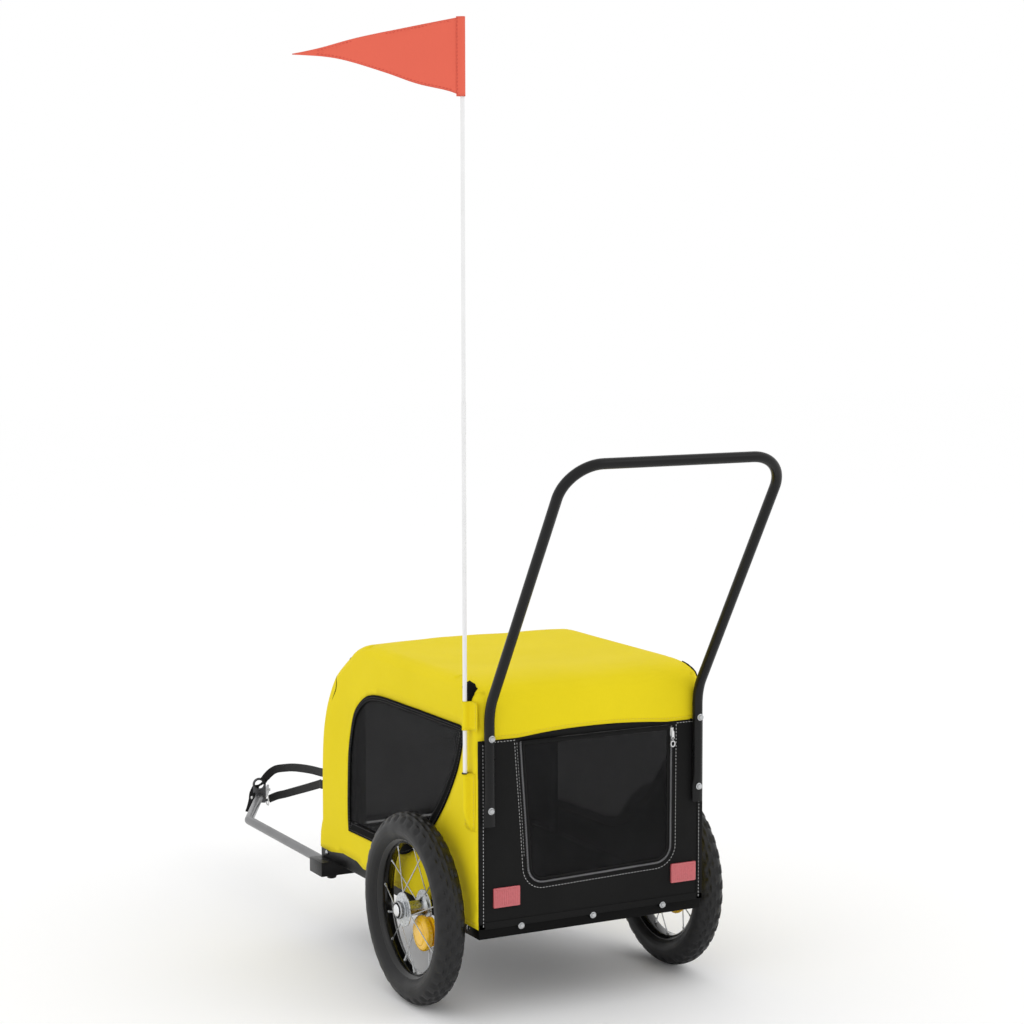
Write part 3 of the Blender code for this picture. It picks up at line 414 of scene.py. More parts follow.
# ---- shape makers -----------------------------------------------------------------------
def piece(name, bm, material, replaces=(), body="chassis", slot=None, smooth=35, extra=()):
    """Store a bmesh, laid out in trailer coordinates, as one finished piece on a body."""
    bmesh.ops.recalc_face_normals(bm, faces=bm.faces)
    bm.transform(Matrix.Translation(SHIFT))
    mesh = bpy.data.meshes.new(name)
    bm.to_mesh(mesh)
    bm.free()
    mesh.shade_smooth()
    mesh.set_sharp_from_angle(angle=math.radians(smooth))
    for key in (material, *extra):
        mesh.materials.append(MATERIALS[key])
    obj = bpy.data.objects.new(name, mesh)
    bpy.context.scene.collection.objects.link(obj)
    if body:
        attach(obj, body)
    slot = slot or USUAL_SLOT[material]
    if replaces:
        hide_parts(*replaces)
    return obj


def thicken(obj, thickness, lining=0, offset=-1.0):
    """Give a sheet its thickness; `lining` is the material index of the inner side."""
    mod = obj.modifiers.new("Solidify", 'SOLIDIFY')
    mod.thickness = thickness
    mod.offset = offset
    mod.material_offset = lining
    mod.use_quality_normals = True
    result = bpy.data.meshes.new_from_object(obj.evaluated_get(bpy.context.evaluated_depsgraph_get()))
    obj.modifiers.clear()
    obj.data = result
    result.name = obj.name
    return obj


def smooth_route(points, step):
    """Points along a smooth curve through the route's own points, about one step apart."""
    knots = [Vector(p) for p in points]
    padded = [knots[0] * 2 - knots[1]] + knots + [knots[-1] * 2 - knots[-2]]
    result = []
    for a, b, c, d in zip(padded, padded[1:], padded[2:], padded[3:]):
        pieces = max(1, round((c - b).length / step))
        for i in range(pieces):
            t = i / pieces
            bend = (a * 2 - b * 5 + c * 4 - d) * t * t + (b * 3 - a - c * 3 + d) * t * t * t
            result.append((b * 2 + (c - a) * t + bend) / 2)
    return result + [knots[-1]]


def resampled(points, step, closed=False):
    """Cut each straight stretch into pieces no longer than step."""
    points = [Vector(p) for p in points]
    result = []
    for here, there in zip(points, points[1:] + points[:1] if closed else points[1:]):
        pieces = max(1, math.ceil((there - here).length / step))
        result += [here.lerp(there, i / pieces) for i in range(pieces)]
    return result if closed else result + [points[-1]]


def evenly(points, step):
    """Points exactly one step apart along a line, with the direction at each."""
    points = [Vector(p) for p in points]
    result = []
    carried = step / 2
    for here, there in zip(points, points[1:]):
        length = (there - here).length
        while carried <= length and length > 0:
            result.append((here.lerp(there, carried / length), (there - here).normalized()))
            carried += step
        carried -= length
    return result


def corner_arc(before, corner, after, radius, steps):
    """Points of a round corner, in 2D or 3D."""
    here = Vector(corner)
    back = (Vector(before) - here).normalized()
    ahead = (Vector(after) - here).normalized()
    half = back.angle(ahead) / 2
    middle = here + (back + ahead).normalized() * (radius / math.sin(half))
    start = here + back * (radius / math.tan(half)) - middle
    end = here + ahead * (radius / math.tan(half)) - middle
    total = start.angle(end)
    return [middle + (start * math.sin((1 - i / steps) * total)
                      + end * math.sin(i / steps * total)) / math.sin(total)
            for i in range(steps + 1)]


def rounded(corners, radii, steps=8):
    """A closed outline with each corner rounded by its own radius."""
    points = []
    for i, radius in enumerate(radii):
        if radius == 0:
            points.append(Vector(corners[i]))
        else:
            points += corner_arc(corners[i - 1], corners[i], corners[(i + 1) % len(corners)], radius, steps)
    return points


def bent(route, radius, steps=8):
    """A route with all its corners rounded alike."""
    points = [Vector(route[0])]
    for before, corner, after in zip(route, route[1:], route[2:]):
        points += corner_arc(before, corner, after, radius, steps)
    return points + [Vector(route[-1])]


def shifted(points, distance, closed=True):
    """A 2D line moved to its right; `distance` is a number, or a function of the normal."""
    points = [Vector(p) for p in points]
    result = []
    count = len(points)
    for i, here in enumerate(points):
        lines = []
        if closed or i > 0:
            lines.append((here - points[i - 1]).normalized())
        if closed or i < count - 1:
            lines.append((points[(i + 1) % count] - here).normalized())
        normals = [Vector((d.y, -d.x)) for d in lines]
        middle = (normals[0] + normals[-1]).normalized()
        size = distance(middle) if callable(distance) else distance
        result.append(here + middle * (size / max(0.5, middle.dot(normals[0]))))
    return result


def inside(point, loops):
    """Even-odd test against several closed loops."""
    odd = False
    for loop in loops:
        before = loop[-1]
        for here in loop:
            if (here.y > point.y) != (before.y > point.y):
                if point.x < (before.x - here.x) * (point.y - here.y) / (before.y - here.y) + here.x:
                    odd = not odd
            before = here
    return odd


def filled(outline, holes, spacing, lift, extra=(), free=None):
    """A triangulated sheet inside an outline; lift(a, b) places each 2D point in space.
    Extra points are used as given; free(p) tells where the even lattice may fill in."""
    loops = [resampled(loop, spacing, closed=True) for loop in (outline, *holes)]
    points = []
    edges = []
    for loop in loops:
        first = len(points)
        edges += [(first + i, first + (i + 1) % len(loop)) for i in range(len(loop))]
        points += loop
    points += [Vector(p) for p in extra if inside(Vector(p), loops)]
    tree = kdtree.KDTree(len(points))
    for i, p in enumerate(points):
        tree.insert((p.x, p.y, 0), i)
    tree.balance()
    low = Vector((min(p.x for p in points), min(p.y for p in points)))
    high = Vector((max(p.x for p in points), max(p.y for p in points)))
    rows = int((high.y - low.y) / (spacing * 0.87))
    columns = int((high.x - low.x) / spacing) + 1
    for j in range(rows + 1):
        for i in range(columns + 1):
            p = Vector((low.x + (i + 0.5 * (j % 2)) * spacing, low.y + j * spacing * 0.87))
            if free is not None and not free(p):
                continue
            if tree.find((p.x, p.y, 0))[2] > spacing * 0.55 and inside(p, loops):
                points.append(p)
    verts, _, faces, *_ = geometry.delaunay_2d_cdt(points, edges, [], 1, 1e-7)
    bm = bmesh.new()
    made = [bm.verts.new(lift(p.x, p.y)) for p in verts]
    for face in faces:
        middle = sum((verts[i] for i in face), Vector((0, 0))) / len(face)
        if inside(middle, loops):
            bm.faces.new([made[i] for i in face])
    drop_loose(bm)
    return bm


def turns(count, sweep=2 * math.pi):
    """Angles that cut a sweep into equal parts; a full turn leaves out its end."""
    return [sweep * i / count for i in range(count + (sweep < 2 * math.pi))]


def mirrored(half):
    """A profile, and the same profile back along the other half of its axis."""
    return half + [(-a, radius) for a, radius in half[::-1]]


def ring_faces(bm, first, second):
    """Quads between two closed rings of vertices."""
    for i, vert in enumerate(first):
        j = (i + 1) % len(first)
        bm.faces.new((vert, first[j], second[j], second[i]))


def grid_faces(bm, grid):
    """Quads of an open grid of vertices."""
    for first, second in zip(grid, grid[1:]):
        for i in range(len(first) - 1):
            bm.faces.new((first[i], first[i + 1], second[i + 1], second[i]))


def drop_loose(bm):
    """Take out vertices that no face uses."""
    bmesh.ops.delete(bm, geom=[v for v in bm.verts if not v.link_faces], context='VERTS')


def swept(path, section, guide=None, closed=False, sizes=None):
    """Carry a closed 2D section along a path; guide(i) gives the section's second axis."""
    points = [Vector(p) for p in path]
    count = len(points)
    bm = bmesh.new()
    rings = []
    side = None
    for i, point in enumerate(points):
        ahead = points[(i + 1) % count] if closed or i < count - 1 else point
        back = points[i - 1] if closed or i > 0 else point
        along = (ahead - back).normalized()
        if guide is not None:
            side = along.cross(Vector(guide(i)))
        elif side is None:
            side = along.cross(Vector((0, 0, 1)))
            if side.length < 0.1:
                side = along.cross(Vector((0, 1, 0)))
        side = (side - along * side.dot(along)).normalized()
        other = side.cross(along)
        wide, tall = sizes(i) if sizes else (1.0, 1.0)
        rings.append([bm.verts.new(point + side * a * wide + other * b * tall) for a, b in section])
    for k in range(count if closed else count - 1):
        ring_faces(bm, rings[k], rings[(k + 1) % count])
    if not closed:
        bm.faces.new(rings[0])
        bm.faces.new(rings[-1])
    return bm


def circle(radius, count):
    """A round section for swept shapes."""
    angles = [2 * math.pi * (i + 0.5) / count for i in range(count)]
    return [(radius * math.cos(a), radius * math.sin(a)) for a in angles]


def flat_section(width, thickness, crown=0.0):
    """A band's section: thin across, wide along the second axis, with rounded edges."""
    t, w = thickness / 2, width / 2
    edge = min(t * 0.8, w * 0.3)
    half = [(t + crown, 0.0), (t + crown * 0.7, w * 0.5), (t, w - edge), (t - edge * 0.6, w)]
    half += [(-a, b) for a, b in half[:0:-1]]
    half += [(-t - crown, 0.0)]
    return half + [(a, -b) for a, b in half[-2:0:-1]]


def turned(profile, axis, centre, sides, closed=False):
    """Spin a profile of (distance along the axis, radius) about an axis through centre."""
    index = 'xyz'.index(axis)
    u, w = Vector((0, 0, 0)), Vector((0, 0, 0))
    u[(index + 1) % 3] = 1
    w[(index + 2) % 3] = 1
    along = u.cross(w)
    bm = bmesh.new()
    rings = []
    for k in range(sides):
        out = u * math.cos(2 * math.pi * k / sides) + w * math.sin(2 * math.pi * k / sides)
        rings.append([bm.verts.new(Vector(centre) + along * a + out * r) for a, r in profile])
    last = len(profile) if closed else len(profile) - 1
    for k in range(sides):
        here, there = rings[k], rings[(k + 1) % sides]
        for i in range(last):
            n = (i + 1) % len(profile)
            bm.faces.new((here[i], here[n], there[n], there[i]))
    if not closed:
        for end in (0, -1):
            if profile[end][1] > 1e-5:
                bm.faces.new([ring[end] for ring in rings])
    bmesh.ops.remove_doubles(bm, verts=bm.verts, dist=1e-6)
    return bm


def join(first, *others):
    """Add other bmeshes to the first one."""
    for other in others:
        mesh = bpy.data.meshes.new("joined")
        other.to_mesh(mesh)
        other.free()
        first.from_mesh(mesh)
        bpy.data.meshes.remove(mesh)
    return first


def extrude(bm, faces, step):
    """Draw faces out by a step, keeping the old ones as the back."""
    top = bmesh.ops.extrude_face_region(bm, geom=faces)
    bmesh.ops.translate(bm, vec=step, verts=[v for v in top["geom"] if isinstance(v, bmesh.types.BMVert)])


def block(low, high, radius, segments=3):
    """A box with rounded edges."""
    bm = bmesh.new()
    bmesh.ops.create_cube(bm, size=1.0)
    size = Vector(high) - Vector(low)
    bm.transform(Matrix.Translation((Vector(high) + Vector(low)) / 2) @ Matrix.Diagonal((*size, 1.0)))
    bmesh.ops.bevel(bm, geom=bm.edges[:], offset=radius, segments=segments, affect='EDGES', profile=0.5)
    return bm


def softened(node, width, material):
    """A CAD node's shape with its edges rounded, standing for that node."""
    bm = bmesh.new()
    bm.from_mesh(NODES[node].data)
    bmesh.ops.remove_doubles(bm, verts=bm.verts, dist=1e-5)
    bmesh.ops.dissolve_limit(bm, angle_limit=math.radians(1), verts=bm.verts[:], edges=bm.edges[:])
    sharp = [e for e in bm.edges if len(e.link_faces) == 2 and e.calc_face_angle() > math.radians(40)]
    bmesh.ops.bevel(bm, geom=sharp, offset=width, segments=3, affect='EDGES', profile=0.5, clamp_overlap=True)
    bmesh.ops.triangulate(bm, faces=[f for f in bm.faces if len(f.verts) > 4])
    bm.transform(Matrix.Translation(-SHIFT))
    return piece(f"{node}_shaped", bm, material, (node,), body=NODES[node]["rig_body"], slot=SLOT_OF[node],
                 smooth=30)


def stitches(name, lines, normal, material, body="chassis", slot=None, length=0.0034, gap=0.0020, width=0.00055):
    """Rows of thread dashes along lines; normal(point) is the way out of the cloth."""
    bm = bmesh.new()
    for line in lines:
        for point, along in evenly(line, length + gap):
            out = Vector(normal(point)).normalized()
            side = along.cross(out).normalized()
            rings = []
            for t, fat, rise in ((-0.5, 0.35, -0.6), (-0.3, 1.0, 0.4), (0.3, 1.0, 0.4), (0.5, 0.35, -0.6)):
                middle = point + along * length * t + out * width * rise
                corners = ((1, 0), (0.5, 0.8), (-0.5, 0.8), (-1, 0), (-0.5, -0.8), (0.5, -0.8))
                rings.append([bm.verts.new(middle + (side * a + out * b) * width * fat) for a, b in corners])
            for first, second in zip(rings, rings[1:]):
                ring_faces(bm, first, second)
            bm.faces.new(rings[0])
            bm.faces.new(rings[-1])
    return piece(name, bm, material, body=body, slot=slot, smooth=60)


def smoothstep(value, low, high):
    """0 below low, 1 above high, and an even ease in between."""
    t = min(1.0, max(0.0, (value - low) / (high - low)))
    return t * t * (3 - 2 * t)


make_camera()
make_studio()


# ---- safety strap ------------------------------------------------------------------------
def upright(i):
    return (0.0, 0.0, 1.0)


def safety_strap():
    """Webbing strap with its ring, tail, fold and keeper loop."""
    path = smooth_route(STRAP_ROUTE, 0.006)
    band = flat_section(STRAP_WIDTH, 0.0019, 0.0001)
    strap = piece("strap_webbing", swept(path, band, upright), "webbing", ("safety_strap",), body=None)

    # D-ring on the plate's lug: the straight bar holds the webbing's end.
    frame_turn = Matrix.Translation(RING_AT) @ Matrix.Rotation(math.radians(-7.5), 4, 'Z')
    loop = [(0.0, -0.0105, -0.0092), (0.0, -0.0105, 0.0092)]
    loop += [(0.0, -0.0050 + 0.0145 * math.sin(a), 0.0103 * math.cos(a)) for a in
             [math.pi * (0.06 + 0.88 * i / 10) for i in range(11)]]
    loop = [frame_turn @ Vector(p) for p in loop]
    loop = [p for i, p in enumerate(loop) for p in (p.lerp(loop[i - 1], 0.15), p, p.lerp(loop[(i + 1) % 13], 0.15))]
    ring = piece("strap_d_ring", swept(loop, circle(0.0012, 10), closed=True), "lacquer", ("strap_ring",),
                 body="tow_arm", smooth=60)

    # The free tail hangs out of the eye plate on the far side, with its rivet.
    tail_path = smooth_route([(-0.0957, 0.9480, 0.1590), (-0.0975, 0.9575, 0.1500), (-0.0995, 0.9690, 0.1440),
                              (-0.1045, 0.9765, 0.1380), (-0.1110, 0.9755, 0.1280), (-0.1150, 0.9700, 0.1170),
                              (-0.1205, 0.9645, 0.1060), (-0.1262, 0.9605, 0.0955)], 0.003)
    tail = swept(tail_path, flat_section(0.012, 0.0019, 0.0001),
                 lambda i: Vector((0.05, 0.0, 1.0)).lerp(Vector((0.75, -0.55, 0.35)), min(1.0, i / 9)))
    piece("strap_tail", tail, "webbing", body="tow_arm")
    rivet_turn = Matrix.Translation((-0.1140, 0.9705, 0.1200)) @ Matrix.Rotation(math.radians(62), 4, 'Z')
    rivet = turned([(-0.0022, 0.0), (-0.0020, 0.0020), (-0.0012, 0.0032), (0.0012, 0.0032), (0.0020, 0.0020),
                    (0.0022, 0.0)], 'y', (0, 0, 0), 20)
    rivet.transform(rivet_turn)
    rivet = piece("strap_rivet", rivet, "lacquer", body="tow_arm")

    # A second layer doubles the webbing near the plate.
    doubled = [p + Vector((0.0021, 0.0004, 0)) for p in path[2:46]]
    fold = piece("strap_doubling", swept(doubled, flat_section(STRAP_WIDTH * 0.96, 0.0017), upright), "webbing",
                 body=None)

    for cloth in (strap, fold):
        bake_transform(cloth)

    # Keeper loop on the nose: the strap's bend runs through it.
    keeper = [(0.4440, 0.2790), (0.4560, 0.2760), (0.4690, 0.2665), (0.4715, 0.2560), (0.4690, 0.2420),
              (0.4560, 0.2320), (0.4440, 0.2290)]
    keeper = [Vector((-0.1790, y, z)) + Vector((0.0065, 0.0, 0.0)) for y, z in keeper]
    piece("strap_keeper", swept(smooth_route(keeper, 0.003), flat_section(0.010, 0.0016), lambda i: (1, 0, 0)),
          "webbing")


safety_strap()


# ---- fabric shell -------------------------------------------------------------------------
PROFILE = smooth_route(ROOF_LINE + NOSE_LINE, 0.0095)


def waves(broad, broad_depth, fine, fine_depth):
    """Soft unevenness of cloth: broad waves with finer ones on top."""
    return noise.noise(Vector(broad)) * broad_depth + noise.noise(Vector(fine)) * fine_depth


def profile_distance(y, z):
    """Distance from a point of the side wall to the roof-and-nose line."""
    point = Vector((y, z))
    best = 1.0
    for a, b in zip(PROFILE, PROFILE[1:]):
        line = b - a
        t = min(1.0, max(0.0, (point - a).dot(line) / line.length_squared))
        best = min(best, (point - a - line * t).length)
    return best


def wall_x(side, y, z, proud=0.0):
    """X of the side wall's outer face: rounded in towards the roof and nose, slack between the tubes."""
    d = profile_distance(y, z)
    drop = 0.0
    if d < ROUND:
        power = 2 + 8 * (1 - smoothstep(z, 0.155, 0.200))
        drop = ROUND * (1 - (1 - (1 - d / ROUND) ** power) ** (1 / power))
    slack = smoothstep(d, 0.005, 0.09) * smoothstep(z, HEM_Z, HEM_Z + 0.05)
    slack *= smoothstep(y, BODY_REAR, BODY_REAR + 0.05)
    wave = waves((y * 9, z * 7, 2.0 + side), 0.0022, (y * 26, z * 9, 5.0), 0.0007)
    return side * (BODY_HALF - drop - slack * (0.0022 - wave) + proud)


HOOP_SPAN = (-0.145, 0.300)


def on_wall(side, y, z, proud=0.0):
    """Point of the side wall's outer face."""
    return Vector((wall_x(side, y, z, proud), y, z))


def ribbon_lift(y, z, x, edge):
    """How far roof and nose stand out of the plain profile at X = x."""
    fade = 1 - (abs(x) / edge) ** 4
    span = (y - HOOP_SPAN[0]) / (HOOP_SPAN[1] - HOOP_SPAN[0])
    hollow = -0.0045 * math.sin(math.pi * span) ** 2 if 0 < span < 1 else 0.0
    wave = waves((x * 8, (y + z) * 8, 1.0), 0.0028, (x * 20, (y - z) * 16, 4.0), 0.0008)
    low = smoothstep(z, HEM_Z, HEM_Z + 0.08) if y > 0.2 else 1.0
    door = 0.25 if y > 0.38 and abs(x) < DOOR_HALF + 0.02 else 1.0
    return fade * low * door * (hollow + 0.002 + wave)


def hem_arch(x):
    """The rear flap's lower edge rises in the middle, over the door."""
    return 0.0075 * max(0.0, 1 - (x / 0.128) ** 2)


def shell():
    """Yellow cover: two side walls with window openings, and one ribbon for rear flap, roof and nose."""
    rows = []
    for d in (ROUND * (1 - math.cos(math.radians(a))) for a in (15, 28, 40, 51, 61, 71, 81, 90, 102)):
        rows += shifted(PROFILE, d, closed=False)
    rows = [p for p in rows if profile_distance(p.x, p.y) > 0.0003]
    notch = [(0.0085 * math.cos(a), WHEEL_R + 0.0085 * math.sin(a)) for a in turns(8, math.pi)]
    hem = [(0.396, HEM_Z), (0.344, 0.1572), (0.288, 0.1560), (0.262, HEM_Z), (0.0085, HEM_Z), *notch,
           (-0.0085, HEM_Z), (BODY_REAR, HEM_Z)]
    outline = PROFILE + [Vector(p) for p in hem]
    halves = []
    for side in (-1, 1):
        halves.append(filled(outline, [window_line()], 0.0130, lambda y, z: on_wall(side, y, z), rows,
                             lambda p: profile_distance(p.x, p.y) > 0.026))

    edge = BODY_HALF - ROUND
    hole_half = DOOR_HALF + ZIP
    xs = [edge * i / 15 for i in range(-15, 16)]
    xs = sorted([x for x in xs if abs(abs(x) - hole_half) > 0.005] + [-hole_half, hole_half])
    normals = []
    for i, p in enumerate(PROFILE):
        along = (PROFILE[min(i + 1, len(PROFILE) - 1)] - PROFILE[max(i - 1, 0)]).normalized()
        normals.append(Vector((-along.y, along.x)))
    bm = bmesh.new()
    grid = []
    for p, n in zip(PROFILE, normals):
        line = []
        for x in xs:
            lift = ribbon_lift(p.x, p.y, x, edge)
            rise = hem_arch(x) * (1 - smoothstep(p.y, PANEL_TOP, PANEL_TOP + 0.05)) if p.x < 0 else 0.0
            line.append(bm.verts.new((x, p.x + n.x * lift, p.y + n.y * lift + rise)))
        grid.append(line)
    for i in range(len(grid) - 1):
        middle = (PROFILE[i] + PROFILE[i + 1]) / 2
        for k in range(len(xs) - 1):
            across = abs(xs[k] + xs[k + 1]) / 2
            if middle.x > 0.38 and DOOR_LOW - ZIP < middle.y < DOOR_TOP and across < hole_half:
                continue
            bm.faces.new((grid[i][k], grid[i][k + 1], grid[i + 1][k + 1], grid[i + 1][k]))
    drop_loose(bm)
    bm = join(bm, *halves)
    bmesh.ops.remove_doubles(bm, verts=bm.verts, dist=2e-5)
    cover = piece("fabric_cover", bm, "yellow", ("roof_cover", "side_wall_left", "side_wall_right", "front_panel"),
                  smooth=60, extra=("lining",))
    thicken(cover, 0.0014, lining=1)


def window_line():
    """The side window's outer line: smooth, but for the low front corner and the top rear one."""
    rear = smooth_route(WINDOW[:WINDOW_CORNER + 1], 0.010)
    front = smooth_route(WINDOW[WINDOW_CORNER:], 0.010)
    return rear[:-1] + front


def border_width(normal):
    """Black border: narrow above and ahead, wider behind and below."""
    ahead = 0.0085 if normal.x > 0 else 0.0135
    above = 0.0080 if normal.y > 0 else 0.0160
    return -(normal.x ** 2 * ahead + normal.y ** 2 * above)


def side_windows():
    """Mesh panes with their sewn black borders."""
    outer = shifted(window_line(), 0.0015)
    inner = shifted(window_line(), border_width)
    pane_edge = shifted(inner, 0.0035)

    def sag(y, z):
        near = min((Vector((y, z)) - p).length for p in inner)
        return 0.0045 * smoothstep(near, 0.0, 0.08)

    for side, word in SIDES:
        pane = filled(pane_edge, (), 0.012, lambda y, z: on_wall(side, y, z, -0.0009 - sag(y, z)))
        pane = piece(f"window_pane_{word}", pane, "mesh", (f"side_window_{word}",), smooth=60)
        thicken(pane, 0.0004)
        band = filled(outer, [inner], 0.005, lambda y, z: on_wall(side, y, z, 0.0011))
        band = piece(f"window_border_{word}", band, "deep", smooth=60)
        thicken(band, 0.0016)
        rows = [shifted(window_line(), -0.0022), shifted(inner, 0.0022)]
        lines = [[on_wall(side, *p, 0.0012) for p in row + row[:1]] for row in rows]
        stitches(f"window_stitching_{word}", lines, lambda p: (side, 0, 0), "dark_thread")


shell()
side_windows()


# ---- rear panel, door and zip -----------------------------------------------------------------
REAR_TOP = REAR_DOOR[0][1]
DOOR_LINE = rounded(REAR_DOOR, REAR_DOOR_RADII)
PANEL_BOTTOM = 0.1485


def rear_y(x, z, proud=0.0):
    """Y of the rear panel's outer face."""
    slack = smoothstep(z, 0.16, 0.20) * smoothstep(BODY_HALF - abs(x), 0.0, 0.03)
    slack *= smoothstep(abs(x - 0.1403), 0.010, 0.03)
    wave = waves((x * 9, z * 8, 7.0), 0.0016, (x * 30, z * 12, 9.0), 0.0004)
    tuck = 0.0030 * smoothstep(z, PANEL_TOP, PANEL_TOP + 0.008)
    if -0.126 < x < 0.139:
        tuck = max(tuck, 0.0028 * smoothstep(z, REAR_TOP, REAR_TOP + 0.0012))
    return BODY_REAR - 0.0006 - proud - slack * (0.0006 + wave) + tuck


def door_y(x, z, proud=0.0):
    """Y of the mesh door: a soft belly, with folds running into its two lower corners."""
    low_left, low_right = Vector(REAR_DOOR[1]), Vector(REAR_DOOR[2])
    here = Vector((x, z))
    edge = min(x + 0.112, 0.137 - x, z - 0.215)
    belly = smoothstep(min(edge, (REAR_TOP - z) * 1.5), 0.0, 0.07)
    fold = 0.0
    for corner, lean in ((low_left, 0.85), (low_right, 2.30)):
        away = here - corner
        angle = math.atan2(away.y, away.x)
        reach = smoothstep(away.length, 0.0, 0.05) * (1 - smoothstep(away.length, 0.06, 0.17))
        fold += math.exp(-((angle - lean) / 0.20) ** 2) * reach
    rise = proud * smoothstep(REAR_TOP - z, 0.0, 0.003)
    return BODY_REAR - 0.0004 - rise - belly * 0.0035 + 0.0032 * fold * smoothstep(edge, 0.0, 0.02)


def door_ring(grow, top_rise=0.0):
    """The door's line moved outwards, with its top edge held that far above the door's own."""
    return [Vector((p.x, min(p.y, REAR_TOP + top_rise))) for p in shifted(DOOR_LINE, grow)]


def on_panel(x, z, proud=0.0):
    """Point of the rear panel's outer face."""
    return Vector((x, rear_y(x, z, proud), z))


def rear():
    """Black rear panel with hems, the mesh door, its zip and the white stitching."""
    hole = door_ring(ZIP + 0.0004, 0.0010)
    outline = [(-BODY_HALF, PANEL_BOTTOM), (BODY_HALF, PANEL_BOTTOM), (BODY_HALF, PANEL_TOP), (0.178, PANEL_TOP)]
    outline += [(x, PANEL_TOP + 0.006 + hem_arch(x)) for x in [0.170 - 0.017 * i for i in range(21)]]
    outline += [(-0.178, PANEL_TOP), (-BODY_HALF, PANEL_TOP)]
    panel = filled(outline, [hole], 0.0105, on_panel)
    panel = piece("rear_panel_cloth", panel, "black", ("rear_panel",), smooth=60, extra=("lining",))
    thicken(panel, 0.0013, lining=1)

    # Folded hems down both edges and along the foot.
    hem_x, hem_low, hem_high = BODY_HALF - 0.0005, PANEL_BOTTOM + 0.0005, PANEL_TOP - 0.0005
    hems = {"left": [(-hem_x, hem_low), (-hem_x, hem_high)], "right": [(hem_x, hem_low), (hem_x, hem_high)],
            "foot": [(0.0005 - hem_x, hem_low), (hem_x - 0.0005, hem_low)]}
    for word, ends in hems.items():
        inward = Vector((0, 1)) if word == "foot" else Vector((1 if word == "left" else -1, 0))
        width = 0.0105
        line = resampled([Vector(p) + inward * width / 2 for p in ends], 0.008)
        spine = [on_panel(*p, 0.0006) for p in line]
        across = Vector((inward.x, 0, inward.y))
        piece(f"rear_hem_{word}", swept(spine, flat_section(width, 0.0013), lambda i: across), "black", smooth=60)

    def sewn(points, proud):
        return [on_panel(p[0], p[1], proud) for p in points]

    door_row = open_line(door_ring(ZIP + 0.0058))
    tape_row = [p for p in open_line(door_ring(ZIP + 0.0022)) if p.x < -0.10 and p.y > 0.25]
    side_rows = [resampled([(x, 0.152), (x, PANEL_TOP - 0.003)], 0.02) for x in (-0.1905, 0.1905)]
    top_rows = [resampled([(-0.1885, PANEL_TOP - 0.0035), (-0.136, PANEL_TOP - 0.0035)], 0.02),
                resampled([(0.149, PANEL_TOP - 0.0035), (0.1885, PANEL_TOP - 0.0035)], 0.02)]
    stitches("rear_topstitching", [sewn(row, 0.0014) for row in side_rows]
             + [sewn(row, 0.0004) for row in top_rows + [door_row]], lambda p: (0, -1, 0), "white_thread")
    stitches("rear_tape_stitching", [sewn(tape_row, 0.0005)], lambda p: (0, -1, 0), "white_thread", slot="zip_tape",
             length=0.0026, gap=0.0022, width=0.0004)

    # Mesh door with a cloth edge beside the zip.
    pane = filled(door_ring(-0.0006), (), 0.0085, lambda x, z: Vector((x, door_y(x, z), z)))
    pane = piece("rear_door_mesh", pane, "mesh", ("rear_door",), body="rear_door", smooth=60)
    thicken(pane, 0.0004)
    edging = filled(door_ring(-0.0004, -0.0003), [door_ring(-0.0045, -0.0060)], 0.004,
                    lambda x, z: Vector((x, door_y(x, z, 0.0008), z)))
    edging = piece("rear_door_edging", edging, "tape", body="rear_door", smooth=60)
    thicken(edging, 0.0012)

    # Zip: woven tape, and two rows of teeth that mesh along its middle.
    tape = filled(door_ring(ZIP + 0.0012, 0.0008), [door_ring(0.0003, -0.0002)], 0.004,
                  lambda x, z: on_panel(x, z, 0.0002))
    tape = piece("rear_zip_tape", tape, "tape", ("rear_zip",), smooth=60)
    thicken(tape, 0.0010)
    zip_teeth("rear_zip_teeth", [on_panel(*p, 0.0009) for p in open_line(door_ring(ZIP * 0.45))], (0, -1, 0))


def open_line(points):
    """Open a closed door line at its top edge: down one side, round the foot, up the other."""
    count = len(points)
    start = max(range(count), key=lambda i: (points[i] - points[i - 1]).length if
                min(points[i].y, points[i - 1].y) > 0.42 else 0)
    return resampled([points[(start + i) % count] for i in range(count)], 0.006)


def zip_teeth(name, line, out):
    """Two rows of small teeth that mesh along a line; out is the way they face."""
    out = Vector(out)
    bm = bmesh.new()
    for k, (point, along) in enumerate(evenly(resampled(line, 0.002), 0.0013)):
        side = along.cross(out).normalized() * (1 if k % 2 else -1)
        centre = point + side * 0.0006
        half = (along * 0.00040, side * 0.00105, out * 0.00065)
        corners = ((-1, -1), (1, -1), (1, 1), (-1, 1))
        low = [centre + half[0] * a + half[1] * b - half[2] for a, b in corners]
        top = [centre + half[0] * a * 0.8 + half[1] * b * 0.75 + half[2] for a, b in corners]
        verts = [bm.verts.new(p) for p in low + top]
        for face in ((0, 1, 2, 3), (4, 5, 6, 7), (0, 1, 5, 4), (1, 2, 6, 5), (2, 3, 7, 6), (3, 0, 4, 7)):
            bm.faces.new([verts[i] for i in face])
    return piece(name, bm, "coil", smooth=20)


rear()


